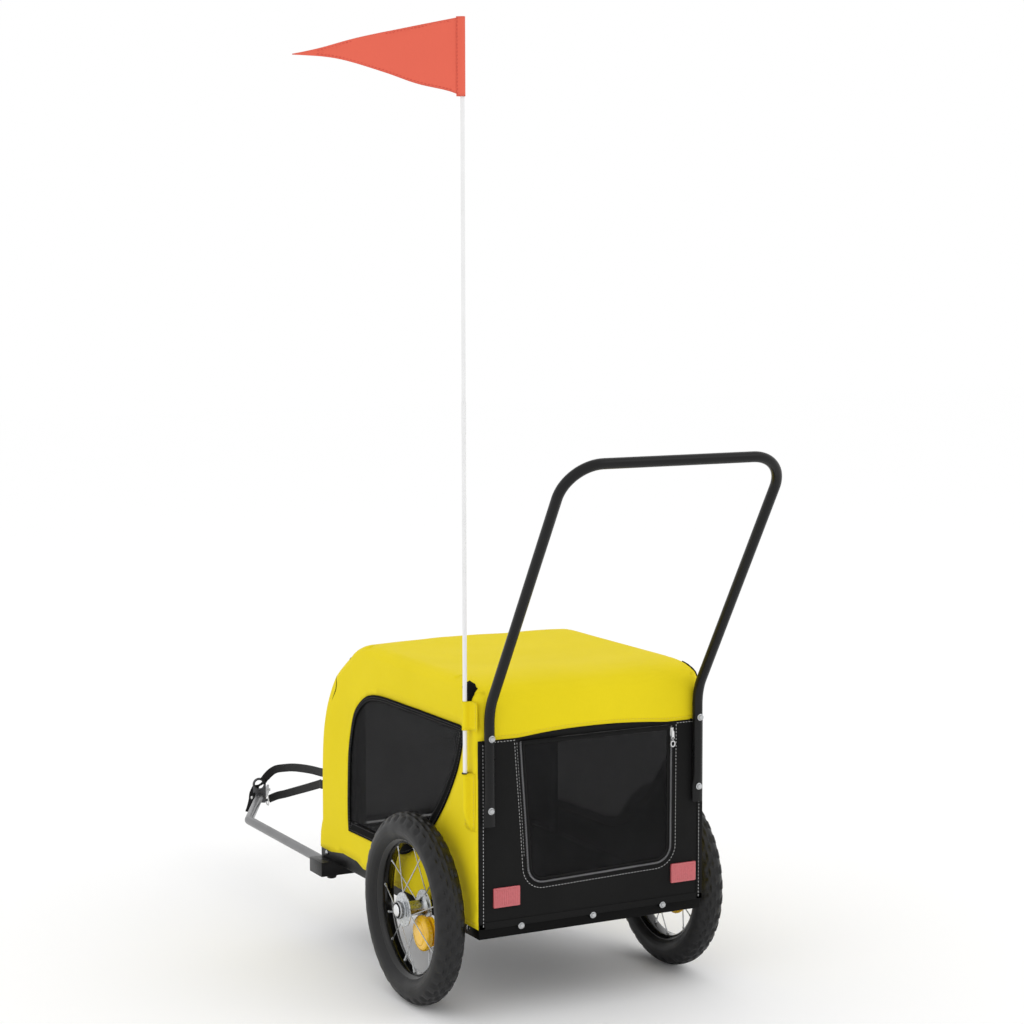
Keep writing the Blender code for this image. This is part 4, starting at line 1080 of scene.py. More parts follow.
# ---- zip sliders and puller --------------------------------------------------------------------
def slider(node, out):
    """Zip slider: a waisted body with a bridge for the puller; out is the way it faces along Y."""
    low, high = (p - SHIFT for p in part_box(node))
    mid = (low + high) / 2
    size = high - low
    outline = [(-0.5, -0.5), (0.5, -0.5), (0.5, 0.05), (0.38, 0.32), (0.5, 0.5), (0.12, 0.5), (0.0, 0.36),
               (-0.12, 0.5), (-0.5, 0.5), (-0.38, 0.32), (-0.5, 0.05)]
    bm = bmesh.new()
    verts = [bm.verts.new((mid.x + a * size.x, mid.y - out * size.y * 0.5, mid.z + b * size.z)) for a, b in outline]
    extrude(bm, [bm.faces.new(verts)], (0, out * size.y * 0.62, 0))
    bmesh.ops.bevel(bm, geom=bm.edges[:], offset=0.0004, segments=2, affect='EDGES', profile=0.5)
    arch = [(mid.x, mid.y + out * size.y * a, mid.z + size.z * b) for a, b in
            ((0.05, -0.30), (0.36, -0.24), (0.46, 0.0), (0.36, 0.24), (0.05, 0.34))]
    bridge = swept(smooth_route(arch, 0.001), flat_section(0.0018, 0.0007), lambda i: (1, 0, 0))
    bm = join(bm, bridge)
    body = NODES[node]["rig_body"]
    return piece(f"{node}_body", bm, "lacquer" if node == "rear_zip_slider" else "zinc", (node,), body=body,
                 slot=SLOT_OF[node])


def puller():
    """Rear slider's puller: a strip, a ring at its foot and a link at its head."""
    low, high = (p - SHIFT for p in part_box("rear_zip_puller"))
    x, y = (low.x + high.x) / 2, (low.y + high.y) / 2
    neck = [(x - 0.0019, high.z), (x + 0.0019, high.z), (x + 0.0021, high.z - 0.010), (x - 0.0021, high.z - 0.010)]
    strip = filled(rounded(neck, [0.0012, 0.0012, 0.0004, 0.0004], 3), (), 0.0015,
                   lambda a, b: Vector((a, y - 0.0006, b)))
    extrude(strip, strip.faces[:], (0, 0.0012, 0))
    eye_z = low.z + 0.0046
    loop = [(x + 0.0036 * math.cos(a), y, eye_z + 0.0044 * math.sin(a)) for a in turns(24)]
    ring = swept(loop, circle(0.0010, 8), lambda i: (0, 1, 0), closed=True)
    link = [(x + 0.0022 * math.cos(a), y, high.z - 0.0105 + 0.0030 * math.sin(a)) for a in turns(16)]
    bm = join(strip, ring, swept(link, circle(0.0005, 6), lambda i: (0, 1, 0), closed=True))
    piece("rear_puller_tag", bm, "lacquer", ("rear_zip_puller",), body="rear_puller", smooth=45)


slider("rear_zip_slider", -1)
slider("front_zip_slider", 1)
puller()


# ---- front door and its zip -----------------------------------------------------------------------
NOSE = [p for p in PROFILE if p.x > 0.2 and DOOR_LOW - 0.001 <= p.y <= DOOR_TOP + 1e-5]


def front_point(s, x, out):
    """Point of the door's surface: s runs down the nose line from 0 to 1."""
    spot = s * (len(NOSE) - 1)
    i = min(int(spot), len(NOSE) - 2)
    p = NOSE[i].lerp(NOSE[i + 1], spot - i)
    along = (NOSE[i + 1] - NOSE[i]).normalized()
    n = Vector((-along.y, along.x))
    return Vector((x, p.x + n.x * out, p.y + n.y * out))


def nose_sheet(name, x_low, x_high, s_low, s_high, out, thickness, material, replaces=()):
    """A sheet that follows the nose between two X and two places along its line."""
    bm = bmesh.new()
    rows = max(2, int((s_high - s_low) * 26))
    columns = max(2, int((x_high - x_low) / 0.011))
    grid = [[bm.verts.new(front_point(s_low + (s_high - s_low) * j / rows, x_low + (x_high - x_low) * i / columns,
                                      out(j / rows, i / columns))) for i in range(columns + 1)]
            for j in range(rows + 1)]
    grid_faces(bm, grid)
    made = piece(name, bm, material, replaces, body="front_door", smooth=60)
    return thicken(made, thickness)


def front():
    """Front door, its zip, and the stitching round it."""
    def belly(t, u):
        edge = min(t * 1.2, 1 - t, u, 1 - u)
        return 0.0004 + 0.0040 * smoothstep(edge, 0.0, 0.35) + 0.0008 * noise.noise(Vector((t * 4, u * 4, 3)))

    half = DOOR_HALF - 0.001
    nose_sheet("front_door_mesh", -half, half, 0.009, 0.985, belly, 0.0004, "mesh", ("front_door",))
    width = 0.011
    for word, x in (("left", -half), ("right", half - width)):
        nose_sheet(f"front_door_edging_{word}", x, x + width, 0.0, 0.985, lambda t, u: 0.0014, 0.0012, "black")
    nose_sheet("front_door_edging_foot", -half, half, 0.945, 0.985, lambda t, u: 0.0016, 0.0012, "black")

    # Zip tape round the opening, its teeth, and the topstitching on the yellow surround.
    z_low = DOOR_LOW - ZIP
    middle = DOOR_HALF + ZIP / 2
    down = [front_point(i / 30, middle, 0.0006) for i in range(31)]
    foot_y = NOSE_Y + 0.0006
    line = [Vector((-p.x, p.y, p.z)) for p in down] + [Vector((-middle, foot_y, z_low + ZIP / 2 + 0.001))]
    line += [Vector((middle, foot_y, z_low + ZIP / 2 + 0.001))] + down[::-1]
    line = smooth_corner(line, 0.010)

    def out_of_nose(i):
        p = line[i]
        side = Vector((-1 if p.x < 0 else 1, 0, 0))
        return side if p.z > z_low + 0.016 else Vector((p.x, 0, -0.14)).normalized()

    piece("front_zip_tape", swept(line, flat_section(ZIP + 0.002, 0.0011), out_of_nose), "tape", ("front_zip",),
          smooth=60)
    teeth = [p + Vector((0, 0.0011, 0.0004)) for p in line]
    zip_teeth("front_zip_teeth", teeth, (0, 1, 0.05))
    rows = [[p + Vector((side * 0.0070, 0.0003, 0)) for p in line if p.z > z_low + 0.012 and p.x * side > 0]
            for side in (-1, 1)]
    rows.append([Vector((-0.13 + 0.02 * i, foot_y, z_low - 0.0042)) for i in range(14)])
    stitches("front_topstitching", rows, lambda p: (0, 1, 0.1), "yellow_thread")


def smooth_corner(points, radius):
    """Round the two square corners at a line's foot."""
    result = [points[0]]
    for before, here, after in zip(points, points[1:], points[2:]):
        turn = (here - before).angle(after - here, 0.0)
        if turn > 0.8:
            result += corner_arc(before, here, after, min(radius, (here - before).length * 0.8), 5)
        else:
            result.append(here)
    return result + [points[-1]]


front()


# ---- seams and small fabric parts -------------------------------------------------------------------
def outward(side, x, y, z):
    """Turns a shape made along +X to face out of the left or right side, and puts it in place."""
    return Matrix.Translation((side * x, y, z)) @ Matrix.Rotation(0.0 if side > 0 else math.pi, 4, 'Z')


def seams():
    """Hem stitching, roof corner patches and studs, and a painted shade line where the nose seam gapes."""
    edge = BODY_HALF - ROUND
    # Hem rows: along the rear flap, and along the foot of each wall.
    flap = []
    for i in range(60):
        x = -0.176 + 0.352 * i / 59
        lift = ribbon_lift(BODY_REAR, PANEL_TOP, x, edge)
        flap.append(Vector((x, BODY_REAR - lift - 0.0003, PANEL_TOP + 0.0050 + hem_arch(x))))
    walls = []
    for side in (-1, 1):
        for start, length, count in ((-0.150, 0.138, 12), (0.014, 0.236, 20)):
            walls.append([on_wall(side, start + length * i / count, HEM_Z + 0.006, 0.0002)
                          for i in range(count + 1)])
    stitches("flap_stitching", [flap], lambda p: (0, -1, 0), "yellow_thread")
    stitches("wall_stitching", walls, lambda p: (p.x, 0, 0), "yellow_thread")

    # Roof corners: a black patch at the rear, a stud at the front, and at the nose a thin dark line of lining cloth
    # on the wall where the seam opens a little: painted shade of the gap, in the lining's own black.
    corner = [(-0.1400, 0.5140), (-0.1290, 0.5188), (-0.1130, 0.5215), (-0.1085, 0.5120), (-0.1190, 0.5010),
              (-0.1230, 0.4930), (-0.1370, 0.4930), (-0.1420, 0.5050)]
    opening = [(0.372, 0.4560), (0.3655, 0.4480), (0.3680, 0.4350), (0.3780, 0.4220), (0.3860, 0.4120)]
    for side, word in SIDES:
        cap = filled([Vector(p) for p in corner], (), 0.004,
                     lambda y, z: on_wall(side, y, z, 0.0022) + Vector((0, 0, 0.0010)))
        cap = piece(f"corner_cap_rear_{word}", cap, "deep", slot="black_plastic", smooth=60)
        thicken(cap, 0.0028)
        stud = turned([(-0.004, 0.0034), (0.0006, 0.0034), (0.0014, 0.0026), (0.0017, 0.0)], 'x', (0, 0, 0), 20)
        stud.transform(outward(side, 0.1915, 0.318, 0.4925) @ Matrix.Rotation(math.radians(-38), 4, 'Y'))
        piece(f"corner_stud_front_{word}", stud, "plastic")
        # Painted shade: a thin tube of black lining cloth laid on the wall stands in for the shade inside the
        # seam's gap.
        gap_shade_line = [on_wall(side, *p, 0.0001) for p in smooth_route(opening, 0.004)]
        taper = [math.sin(math.pi * (0.08 + 0.92 * i / (len(gap_shade_line) - 1))) + 0.05 for i in range(len(gap_shade_line))]
        piece(f"nose_seam_shade_{word}", swept(gap_shade_line, circle(0.0007, 8), lambda i: (side, 0, 0),
                                         sizes=lambda i: (taper[i], taper[i])), "lining", smooth=60)


def pole_sleeves():
    """Sewn loop and pocket for the flag pole: bands of cloth that wrap it and lie on the wall."""
    def band(z_low, z_high, y_rear, y_front, closed_foot):
        bm = bmesh.new()
        path = [(-BODY_HALF - 0.0004, y_rear), (-BODY_HALF - 0.0016, y_rear + 0.001),
                (-BODY_HALF - 0.0018, POLE.y - 0.0075)]
        radius = POLE_R + 0.0016
        for k in range(9):
            turn = math.pi * (0.5 + k / 8)
            path.append((POLE.x + radius * math.cos(turn), POLE.y - radius * math.sin(turn)))
        path += [(-BODY_HALF - 0.0018, POLE.y + 0.0075), (-BODY_HALF - 0.0016, y_front - 0.001),
                 (-BODY_HALF - 0.0004, y_front)]
        path = smooth_route(path, 0.0016)
        rows = 8
        grid = []
        for j in range(rows + 1):
            z = z_low + (z_high - z_low) * j / rows
            pinch = 1 - 0.10 * math.sin(math.pi * j / rows) - (0.80 * smoothstep(1 - j / rows, 0.66, 1.0)
                                                               if closed_foot else 0)
            line = []
            for a, b in path:
                x = -BODY_HALF + (a + BODY_HALF) * max(0.12, pinch)
                line.append(bm.verts.new((x, b, z + 0.0006 * noise.noise(Vector((b * 60, z * 40, 1))))))
            grid.append(line)
        grid_faces(bm, grid)
        return bm

    loop = piece("pole_loop", band(0.4515, 0.4955, -0.1578, -0.1140, False), "yellow", ("pole_holder",), smooth=60)
    thicken(loop, 0.0011)
    pocket = piece("pole_pocket", band(0.2980, 0.3860, -0.1500, -0.1165, True), "yellow", smooth=60)
    thicken(pocket, 0.0011)
    mouth = turned([(0.3848, POLE_R + 0.0004), (0.3848, POLE_R + 0.0018), (0.3864, POLE_R + 0.0018),
                    (0.3864, POLE_R + 0.0004)], 'z', POLE, 28, closed=True)
    piece("pocket_mouth_binding", mouth, "lining", smooth=60)
    rows = []
    for low, high, ys in ((0.4530, 0.4945, (-0.1550, -0.1165)), (0.302, 0.385, (-0.1475, -0.1190))):
        rows += [resampled([(-BODY_HALF - 0.0020, y, low), (-BODY_HALF - 0.0020, y, high)], 0.02) for y in ys]
    stitches("sleeve_stitching", rows, lambda p: (-1, 0, 0), "yellow_thread")


seams()
pole_sleeves()


# ---- flag and pole ---------------------------------------------------------------------------------
FLAG_TURN = math.radians(20)
FLAG_LOWER = [(0.0, 1.3905), (0.022, 1.3985), (0.068, 1.4085), (0.113, 1.4235), (0.167, 1.4392), (0.204, 1.4460),
              (0.247, 1.4488)]
FLAG_UPPER = [(0.0, 1.5055), (0.076, 1.4900), (0.131, 1.4780), (0.167, 1.4694), (0.204, 1.4592), (0.230, 1.4530),
              (0.247, 1.4496)]


def height_on(line, along):
    """Height of a flag edge at a distance from the pole."""
    for (a0, z0), (a1, z1) in zip(line, line[1:]):
        if along <= a1:
            return z0 + (z1 - z0) * (along - a0) / (a1 - a0)
    return line[-1][1]


def flag():
    """Rippled flag, its sleeve round the pole and its stitching."""
    ahead = Vector((-math.cos(FLAG_TURN), math.sin(FLAG_TURN), 0))
    aside = Vector((math.sin(FLAG_TURN), math.cos(FLAG_TURN), 0))
    lower = [tuple(p) for p in smooth_route(FLAG_LOWER, 0.006)]
    upper = [tuple(p) for p in smooth_route(FLAG_UPPER, 0.006)]
    start = POLE_R + 0.0006
    tip = FLAG_UPPER[-1][0]
    columns, rows = 44, 18

    def ripple(a, v):
        loose = smoothstep(a, 0.0, 0.12)
        return loose * (0.0055 * math.sin(a * 30 + 0.6) * (0.35 + a * 3.0) + 0.0015 * math.sin(a * 60 + v * 2.5))

    bm = bmesh.new()
    grid = []
    for i in range(columns + 1):
        a = start + (tip - start) * i / columns
        z_low, z_high = height_on(lower, a), height_on(upper, a)
        grid.append([bm.verts.new(POLE + ahead * max(a, start) + aside * ripple(a, j / rows)
                                  + Vector((0, 0, z_low + (z_high - z_low) * j / rows))) for j in range(rows + 1)])
    grid_faces(bm, grid)
    sheet = piece("flag_cloth", bm, "flag", ("flag",), body="flag", smooth=60)
    thicken(sheet, 0.0005, offset=0.0)

    # Sleeve: the cloth wraps the pole and is sewn down as a strip on both faces.
    low, high = FLAG_LOWER[0][1], FLAG_UPPER[0][1]
    radius = POLE_R + 0.0009
    path = [ahead * 0.0088 + aside * 0.0008, ahead * 0.0068 + aside * 0.0011]
    path += [(ahead * math.cos(t) + aside * math.sin(t)) * radius
             for t in [math.pi * (0.30 + 1.4 * k / 12) for k in range(13)]]
    path += [ahead * 0.0068 - aside * 0.0011, ahead * 0.0088 - aside * 0.0008]
    path = smooth_route(path, 0.0014)
    bm = bmesh.new()
    grid = [[bm.verts.new(POLE + p + Vector((0, 0, low + (high - low) * j / rows))) for p in path]
            for j in range(rows + 1)]
    grid_faces(bm, grid)
    sleeve = piece("flag_sleeve", bm, "flag", body="flag", smooth=60)
    thicken(sleeve, 0.0005, offset=0.0)
    seam = [POLE + ahead * 0.0078 - aside * 0.0013 + Vector((0, 0, low + 0.002 + (high - low - 0.004) * i / 20))
            for i in range(21)]
    back = [p + aside * 0.0026 for p in seam]
    edges = []
    for line, inset in ((lower, 0.0030), (upper, -0.0030)):
        edges.append([POLE + ahead * a + aside * (ripple(a, 0.0) - 0.0004) + Vector((0, 0, z + inset))
                      for a, z in line if 0.014 < a < 0.215])
    sewn = stitches("flag_stitching", [seam, back] + edges, lambda p: -aside, "red_thread", body="flag",
                    width=0.00040)


def pole():
    """Flag pole in two sections that meet in a ferrule."""
    middle = 0.92
    lower = [(0.3360, 0.0), (0.3360, POLE_R - 0.0010), (0.3370, POLE_R), (middle - 0.024, POLE_R),
             (middle - 0.0238, POLE_R + 0.0003), (middle - 0.0002, POLE_R + 0.0003), (middle, POLE_R)]
    upper = [(middle, POLE_R), (middle + 0.0002, POLE_R + 0.0003), (middle + 0.0238, POLE_R + 0.0003),
             (middle + 0.024, POLE_R - 0.0002), (1.5025, POLE_R - 0.0002), (1.5045, POLE_R - 0.0012),
             (1.5050, 0.0)]
    piece("pole_rod_lower", turned(lower, 'z', POLE, 32), "rod", ("flag_pole_lower",), body="flag_pole")
    piece("pole_rod_upper", turned(upper, 'z', POLE, 32), "rod", ("flag_pole_upper",), body="flag_pole")


flag()
pole()


# ---- handle, bolts and reflectors ---------------------------------------------------------------------
def handle():
    """Push handle: one bent tube, flattened where it is bolted on."""
    x = HANDLE_HALF
    left = [(-x, HANDLE_Y, 0.3080), (-x, HANDLE_Y, HANDLE_BEND_Z), (-x, *HANDLE_TOP)]
    right = [(-a, b, c) for a, b, c in left[::-1]]
    route = left + right
    points = resampled([route[0], (-x, HANDLE_Y, 0.440)], 0.004)
    for i, (radius, steps) in enumerate(((0.080, 12), (0.058, 18), (0.058, 18), (0.080, 12))):
        points += corner_arc(*route[i:i + 3], radius, steps)
    points += resampled([(x, HANDLE_Y, 0.440), route[5]], 0.004)

    def sizes(i):
        flat = 1 - smoothstep(points[i].z, 0.330, 0.352) if points[i].y > HANDLE_Y - 0.001 else 0.0
        return 1 + 0.16 * flat, 1 - 0.45 * flat

    # Near the feet the section is guided so that it flattens against the panel.
    section = circle(TUBE_R, 28)
    bar = swept(points, section, guide=lambda i: handle_guide(points, i), sizes=sizes)
    piece("handle_tube", bar, "paint", ("handle_bar",), smooth=50)


def handle_guide(points, i):
    """Section's second axis: front to back on the legs, square to the handle's plane on top."""
    ahead = (points[min(i + 1, len(points) - 1)] - points[max(i - 1, 0)]).normalized()
    if abs(ahead.x) > 0.02:
        ahead = Vector((0, HANDLE_TOP[0] - HANDLE_Y, HANDLE_TOP[1] - HANDLE_BEND_Z)).normalized()
    elif points[i].x > 0:
        ahead = -ahead
    return Vector((1, 0, 0)).cross(ahead)


def hex_bolt(name, x, z, face_y, tip_y, node, washer=0.0053, across=0.0043):
    """Flanged hex bolt that points forward: washer, chamfered hex head, shank and its nut inside."""
    head = bmesh.new()
    corners = [(across * math.cos(math.pi * k / 3 + 0.3), across * math.sin(math.pi * k / 3 + 0.3))
               for k in range(6)]
    rings = []
    for depth, scale in ((0.0, 1.0), (-0.0026, 1.0), (-0.0034, 0.82), (-0.0037, 0.45)):
        rings.append([head.verts.new((x + a * scale, face_y - 0.0010 + depth, z + b * scale)) for a, b in corners])
    for first, second in zip(rings, rings[1:]):
        ring_faces(head, first, second)
    head.faces.new(rings[0])
    head.faces.new(rings[-1])
    rim = turned([(face_y, 0.0), (face_y, washer), (face_y - 0.0006, washer), (face_y - 0.0014, washer - 0.0012),
                  (face_y - 0.0016, 0.0)], 'y', (x, 0, z), 28)
    shank = turned([(face_y - 0.0005, 0.0), (face_y - 0.0005, 0.0026), (tip_y, 0.0026), (tip_y + 0.0008, 0.0018),
                    (tip_y + 0.0008, 0.0)], 'y', (x, 0, z), 16)
    nut = turned([(tip_y - 0.0050, 0.0), (tip_y - 0.0050, 0.0044), (tip_y - 0.0008, 0.0048), (tip_y - 0.0008, 0.0)],
                 'y',
                 (x, 0, z), 6)
    piece(name, join(head, rim, shank, nut), "zinc", (node,), smooth=35)


def bolts():
    """Handle bolts, rail bolts and the small screws on the side rails."""
    back = HANDLE_Y - TUBE_R - 0.0003
    for side, word in SIDES:
        for z, level in zip(HANDLE_BOLT_Z, ("lower", "upper")):
            face = back + (0.0030 if level == "lower" else 0.0)
            hex_bolt(f"handle_hex_{level}_{word}", side * HANDLE_HALF, z, face, -0.1330,
                     f"handle_bolt_{level}_{word}")
    for x, word in zip((-0.1253, 0.0, 0.1253), ("left", "middle", "right")):
        hex_bolt(f"rail_hex_{word}", x, 0.1475, BODY_REAR - 0.0008, -0.1450, f"rail_bolt_{word}", 0.0054, 0.0040)
    for side, word in SIDES:
        heads = []
        for y, z in ((-0.121, 0.1445), (0.417, 0.1430)):
            line = [(0.0, 0.0046), (0.0012, 0.0044), (0.0024, 0.0032), (0.0029, 0.0014), (0.0022, 0.0)]
            heads.append(turned(line, 'x', (0, 0, 0), 24))
            heads[-1].transform(outward(side, 0.1958, y, z))
        piece(f"rail_screws_{word}", join(*heads), "zinc")


def rear_reflectors():
    """Red reflectors: a rounded plate with a ribbed face."""
    for word in ("left", "right"):
        node = f"rear_reflector_{word}"
        low, high = (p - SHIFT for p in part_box(node))
        bm = block(low, high, 0.0016)
        face = min(bm.faces, key=lambda f: f.calc_center_median().y)
        bmesh.ops.inset_individual(bm, faces=[face], thickness=0.0014, depth=0.0)
        bmesh.ops.translate(bm, vec=(0, 0.0005, 0), verts=face.verts)
        ribs = [low.x + 0.004 + (high.x - low.x - 0.008) * i / 10 for i in range(11)]
        bars = [block((x - 0.0013, low.y + 0.0001, low.z + 0.003), (x + 0.0013, low.y + 0.0008, high.z - 0.003),
                      0.0003, 2) for x in ribs]
        piece(f"tail_lens_{word}", join(bm, *bars), "red", (node,), smooth=30)


handle()
bolts()
rear_reflectors()


# ---- wheels --------------------------------------------------------------------------------------------
def tyre(side, word):
    """Tyre with blocky shoulders, a zigzag crown and rings moulded on the walls."""
    half = 0.023
    section_r = WHEEL_R - half
    turns, steps = 216, 46
    bm = bmesh.new()
    rings = []
    for k in range(turns):
        angle = 2 * math.pi * k / turns
        out = Vector((0, math.cos(angle), math.sin(angle)))
        ring = []
        for i in range(steps + 1):
            phi = math.pi * (-0.30 + 1.60 * i / steps)
            w = math.cos(phi)
            tread = smoothstep(math.sin(phi), 0.42, 0.50)
            zig = 0.30 * (1 if (k // 3) % 2 else -1)
            crown = abs(w - zig * 0.55) < 0.10
            shoulder = abs(w) > 0.52 and k % 6 in (0, 1)
            notch = 0.40 < abs(w) < 0.52 and (k // 3) % 2
            groove = 1.0 if tread > 0 and (crown or shoulder or notch) else 0.0
            rings_on_wall = 0.0003 * math.sin(phi * 34) if math.sin(phi) < 0.35 else 0.0
            r = half + 0.0002 - 0.0024 * groove * tread + rings_on_wall - 0.0004 * (1 - tread)
            ring.append(bm.verts.new(Vector((side * TRACK_HALF + r * w, 0, WHEEL_R))
                                     + out * (section_r + r * math.sin(phi))))
        for w, rise in ((-0.0120, -0.0020), (-0.0085, 0.0004), (0.0085, 0.0004), (0.0120, -0.0020)):
            ring.append(bm.verts.new(Vector((side * TRACK_HALF + w, 0, WHEEL_R)) + out * (RIM_R + rise)))
        rings.append(ring)
    for first, second in zip(rings, rings[1:] + rings[:1]):
        ring_faces(bm, first, second)
    piece(f"tyre_tread_{word}", bm, "rubber", (f"tyre_{word}",), body=f"wheel_{word}", smooth=38)


def rim(side, word):
    """Painted rim with hooked edges."""
    w = 0.0135
    half = [(0.0, 0.0132), (0.0078, 0.0126), (0.0100, 0.0110), (w - 0.0018, 0.0082), (w - 0.0004, 0.0066),
            (w, 0.0050), (w - 0.0008, 0.0035), (w - 0.0030, 0.0030), (0.0090, -0.0004)]
    profile = [(a, RIM_R - depth) for a, depth in mirrored(half)[:-1]]
    bm = turned(profile, 'x', (side * TRACK_HALF, 0, WHEEL_R), 144, closed=True)
    piece(f"wheel_rim_{word}", bm, "rim", (f"rim_{word}",), body=f"wheel_{word}", smooth=50)


def spokes(side, word):
    """Crossed spokes with elbows at the hub and nipples at the rim."""
    middle = Vector((side * TRACK_HALF, 0, WHEEL_R))
    bars, nipples = [], []
    knob = [(-0.0080, 0.0), (-0.0080, 0.0012), (-0.0072, 0.0016), (-0.0022, 0.0016), (-0.0016, 0.0022),
            (0.0, 0.0025), (0.0014, 0.0020), (0.0014, 0.0)]
    for k in range(14):
        flange = 0.018 if k % 2 else -0.018
        lean = 0.55 if (k // 2) % 2 else -0.55
        rim_turn = 2 * math.pi * (k + 0.35) / 14
        hub_turn = rim_turn + lean
        start = middle + Vector((flange, 0.0225 * math.cos(hub_turn), 0.0225 * math.sin(hub_turn)))
        end = middle + Vector((flange * 0.12, 0.1002 * math.cos(rim_turn), 0.1002 * math.sin(rim_turn)))
        along = (end - start).normalized()
        elbow = start + Vector((math.copysign(0.0032, -flange), 0, 0))
        bars.append(swept([elbow, start - along * 0.0002, start + along * 0.002, end], circle(0.0010, 8)))
        nipples.append(turned(knob, 'z', (0, 0, 0), 12))
        nipples[-1].transform(Matrix.Translation(end) @ along.to_track_quat('Z', 'X').to_matrix().to_4x4())
    piece(f"spoke_wires_{word}", join(*bars), "zinc", body=f"wheel_{word}", slot="hub_zinc", smooth=60)
    piece(f"spoke_nipples_{word}", join(*nipples), "zinc", body=f"wheel_{word}", slot="hub_zinc", smooth=40)


def hub(side, word):
    """Hub, dust seals, axle, axle head with its push button, and the spacer."""
    h = 0.0225
    middle = (side * TRACK_HALF, 0, WHEEL_R)
    half = [(h, 0.0062), (h, 0.0112), (h - 0.0006, 0.0126), (0.0204, 0.0136), (0.0198, 0.0150), (0.0196, 0.0185),
            (0.0190, 0.0200), (0.0193, 0.0235), (0.0190, 0.0264), (0.0182, 0.0270), (0.0172, 0.0270),
            (0.0166, 0.0262), (0.0166, 0.0160), (0.0150, 0.0142), (0.0120, 0.0120), (0.0060, 0.0112)]
    bm = turned(mirrored(half), 'x', middle, 72, closed=True)
    piece(f"hub_shell_{word}", bm, "spangle", (f"hub_{word}",), body=f"wheel_{word}", smooth=35)

    # Dust seals, then the axle's head with its push button.
    seals = [turned([(s * 0.0208, 0.0090), (s * 0.0232, 0.0092), (s * 0.0236, 0.0112), (s * 0.0226, 0.0120)], 'x',
                    middle, 48, closed=True)
             for s in (-1, 1)]
    piece(f"hub_seals_{word}", join(*seals), "plastic", body=f"wheel_{word}", smooth=35)
    hub_end = side * (TRACK_HALF + h + 0.0005)
    inner = side * AXLE_INNER
    reach = abs(hub_end - inner)
    line = [(0.0, 0.0), (0.0, 0.0040), (0.0012, 0.0052), (reach, 0.0052), (reach, 0.0104), (reach + 0.0016, 0.0104),
            (reach + 0.0016, 0.0)]
    bm = turned([(side * a, r) for a, r in line], 'x', (inner, 0, WHEEL_R), 56)
    piece(f"axle_pin_{word}", bm, "zinc", (f"axle_{word}",), smooth=35)
    lip = [(0.0001, 0.0126), (0.0001, 0.0134), (0.0008, 0.0140), (0.0046, 0.0140), (0.0054, 0.0135),
           (0.0054, 0.0128)]
    seal = [(0.0001, 0.0106), (0.0001, 0.0125), (0.0048, 0.0125), (0.0050, 0.0121), (0.0050, 0.0110),
            (0.0046, 0.0106)]
    for line, key, ring_name in ((lip, "zinc", "lip"), (seal, "plastic", "ring")):
        bm = turned([(side * (reach + a), r) for a, r in line], 'x', (inner, 0, WHEEL_R), 56, closed=True)
        piece(f"axle_head_{ring_name}_{word}", bm, key, slot="zinc_steel", smooth=35)
    back = hub_end + side * 0.0048
    cap = [(0.0, 0.0), (0.0, 0.0096), (0.0020, 0.0096), (0.0030, 0.0088), (0.0037, 0.0066), (0.0040, 0.0036),
           (0.0041, 0.0)]
    bm = turned([(side * a, r) for a, r in cap], 'x', (back, 0, WHEEL_R), 48)
    piece(f"release_cap_{word}", bm, "bright_zinc", (f"release_button_{word}",), body=f"release_{word}", smooth=35)
    low, high = sorted((side * (BODY_HALF + 0.0006), side * (TRACK_HALF - h - 0.0008)))
    ring = [(low, 0.0056), (low, 0.0090), (low + 0.0006, 0.0096), (high - 0.0006, 0.0096), (high, 0.0090),
            (high, 0.0056)]
    piece(f"axle_collar_{word}", turned(ring, 'x', (0, 0, WHEEL_R), 40, closed=True), "plastic",
          (f"axle_spacer_{word}",))


def wheel_reflector(side, word):
    """Round amber lens clipped on the spokes: ribbed edge, raised faces and the clip's second lobe."""
    spot = Vector((side * (TRACK_HALF - 0.002), -0.029, 0.1170))
    half = [(-0.0085, 0.0), (-0.0085, 0.0150), (-0.0080, 0.0175), (-0.0066, 0.0190), (-0.0066, 0.0225),
            (-0.0050, 0.0258), (-0.0024, 0.0272)]
    disc = turned(mirrored(half), 'x', spot, 96)
    for v in disc.verts:
        out = v.co - spot
        radius = math.hypot(out.y, out.z)
        if radius > 0.0250:
            k = 1 + 0.018 * math.cos(math.atan2(out.z, out.y) * 32)
            v.co = Vector((v.co.x, spot.y + out.y * k, spot.z + out.z * k))
    lobe = turned(mirrored([(-0.0035, 0.0), (-0.0035, 0.0200), (-0.0020, 0.0232)]), 'x',
                  spot + Vector((-side * 0.0110, -0.004, 0.002)), 64)
    piece(f"spoke_lens_{word}", join(disc, lobe), "amber", (f"wheel_reflector_{word}",), body=f"wheel_{word}",
          smooth=40)


for wheel_side, wheel_word in SIDES:
    for make in (tyre, rim, spokes, hub, wheel_reflector):
        make(wheel_side, wheel_word)


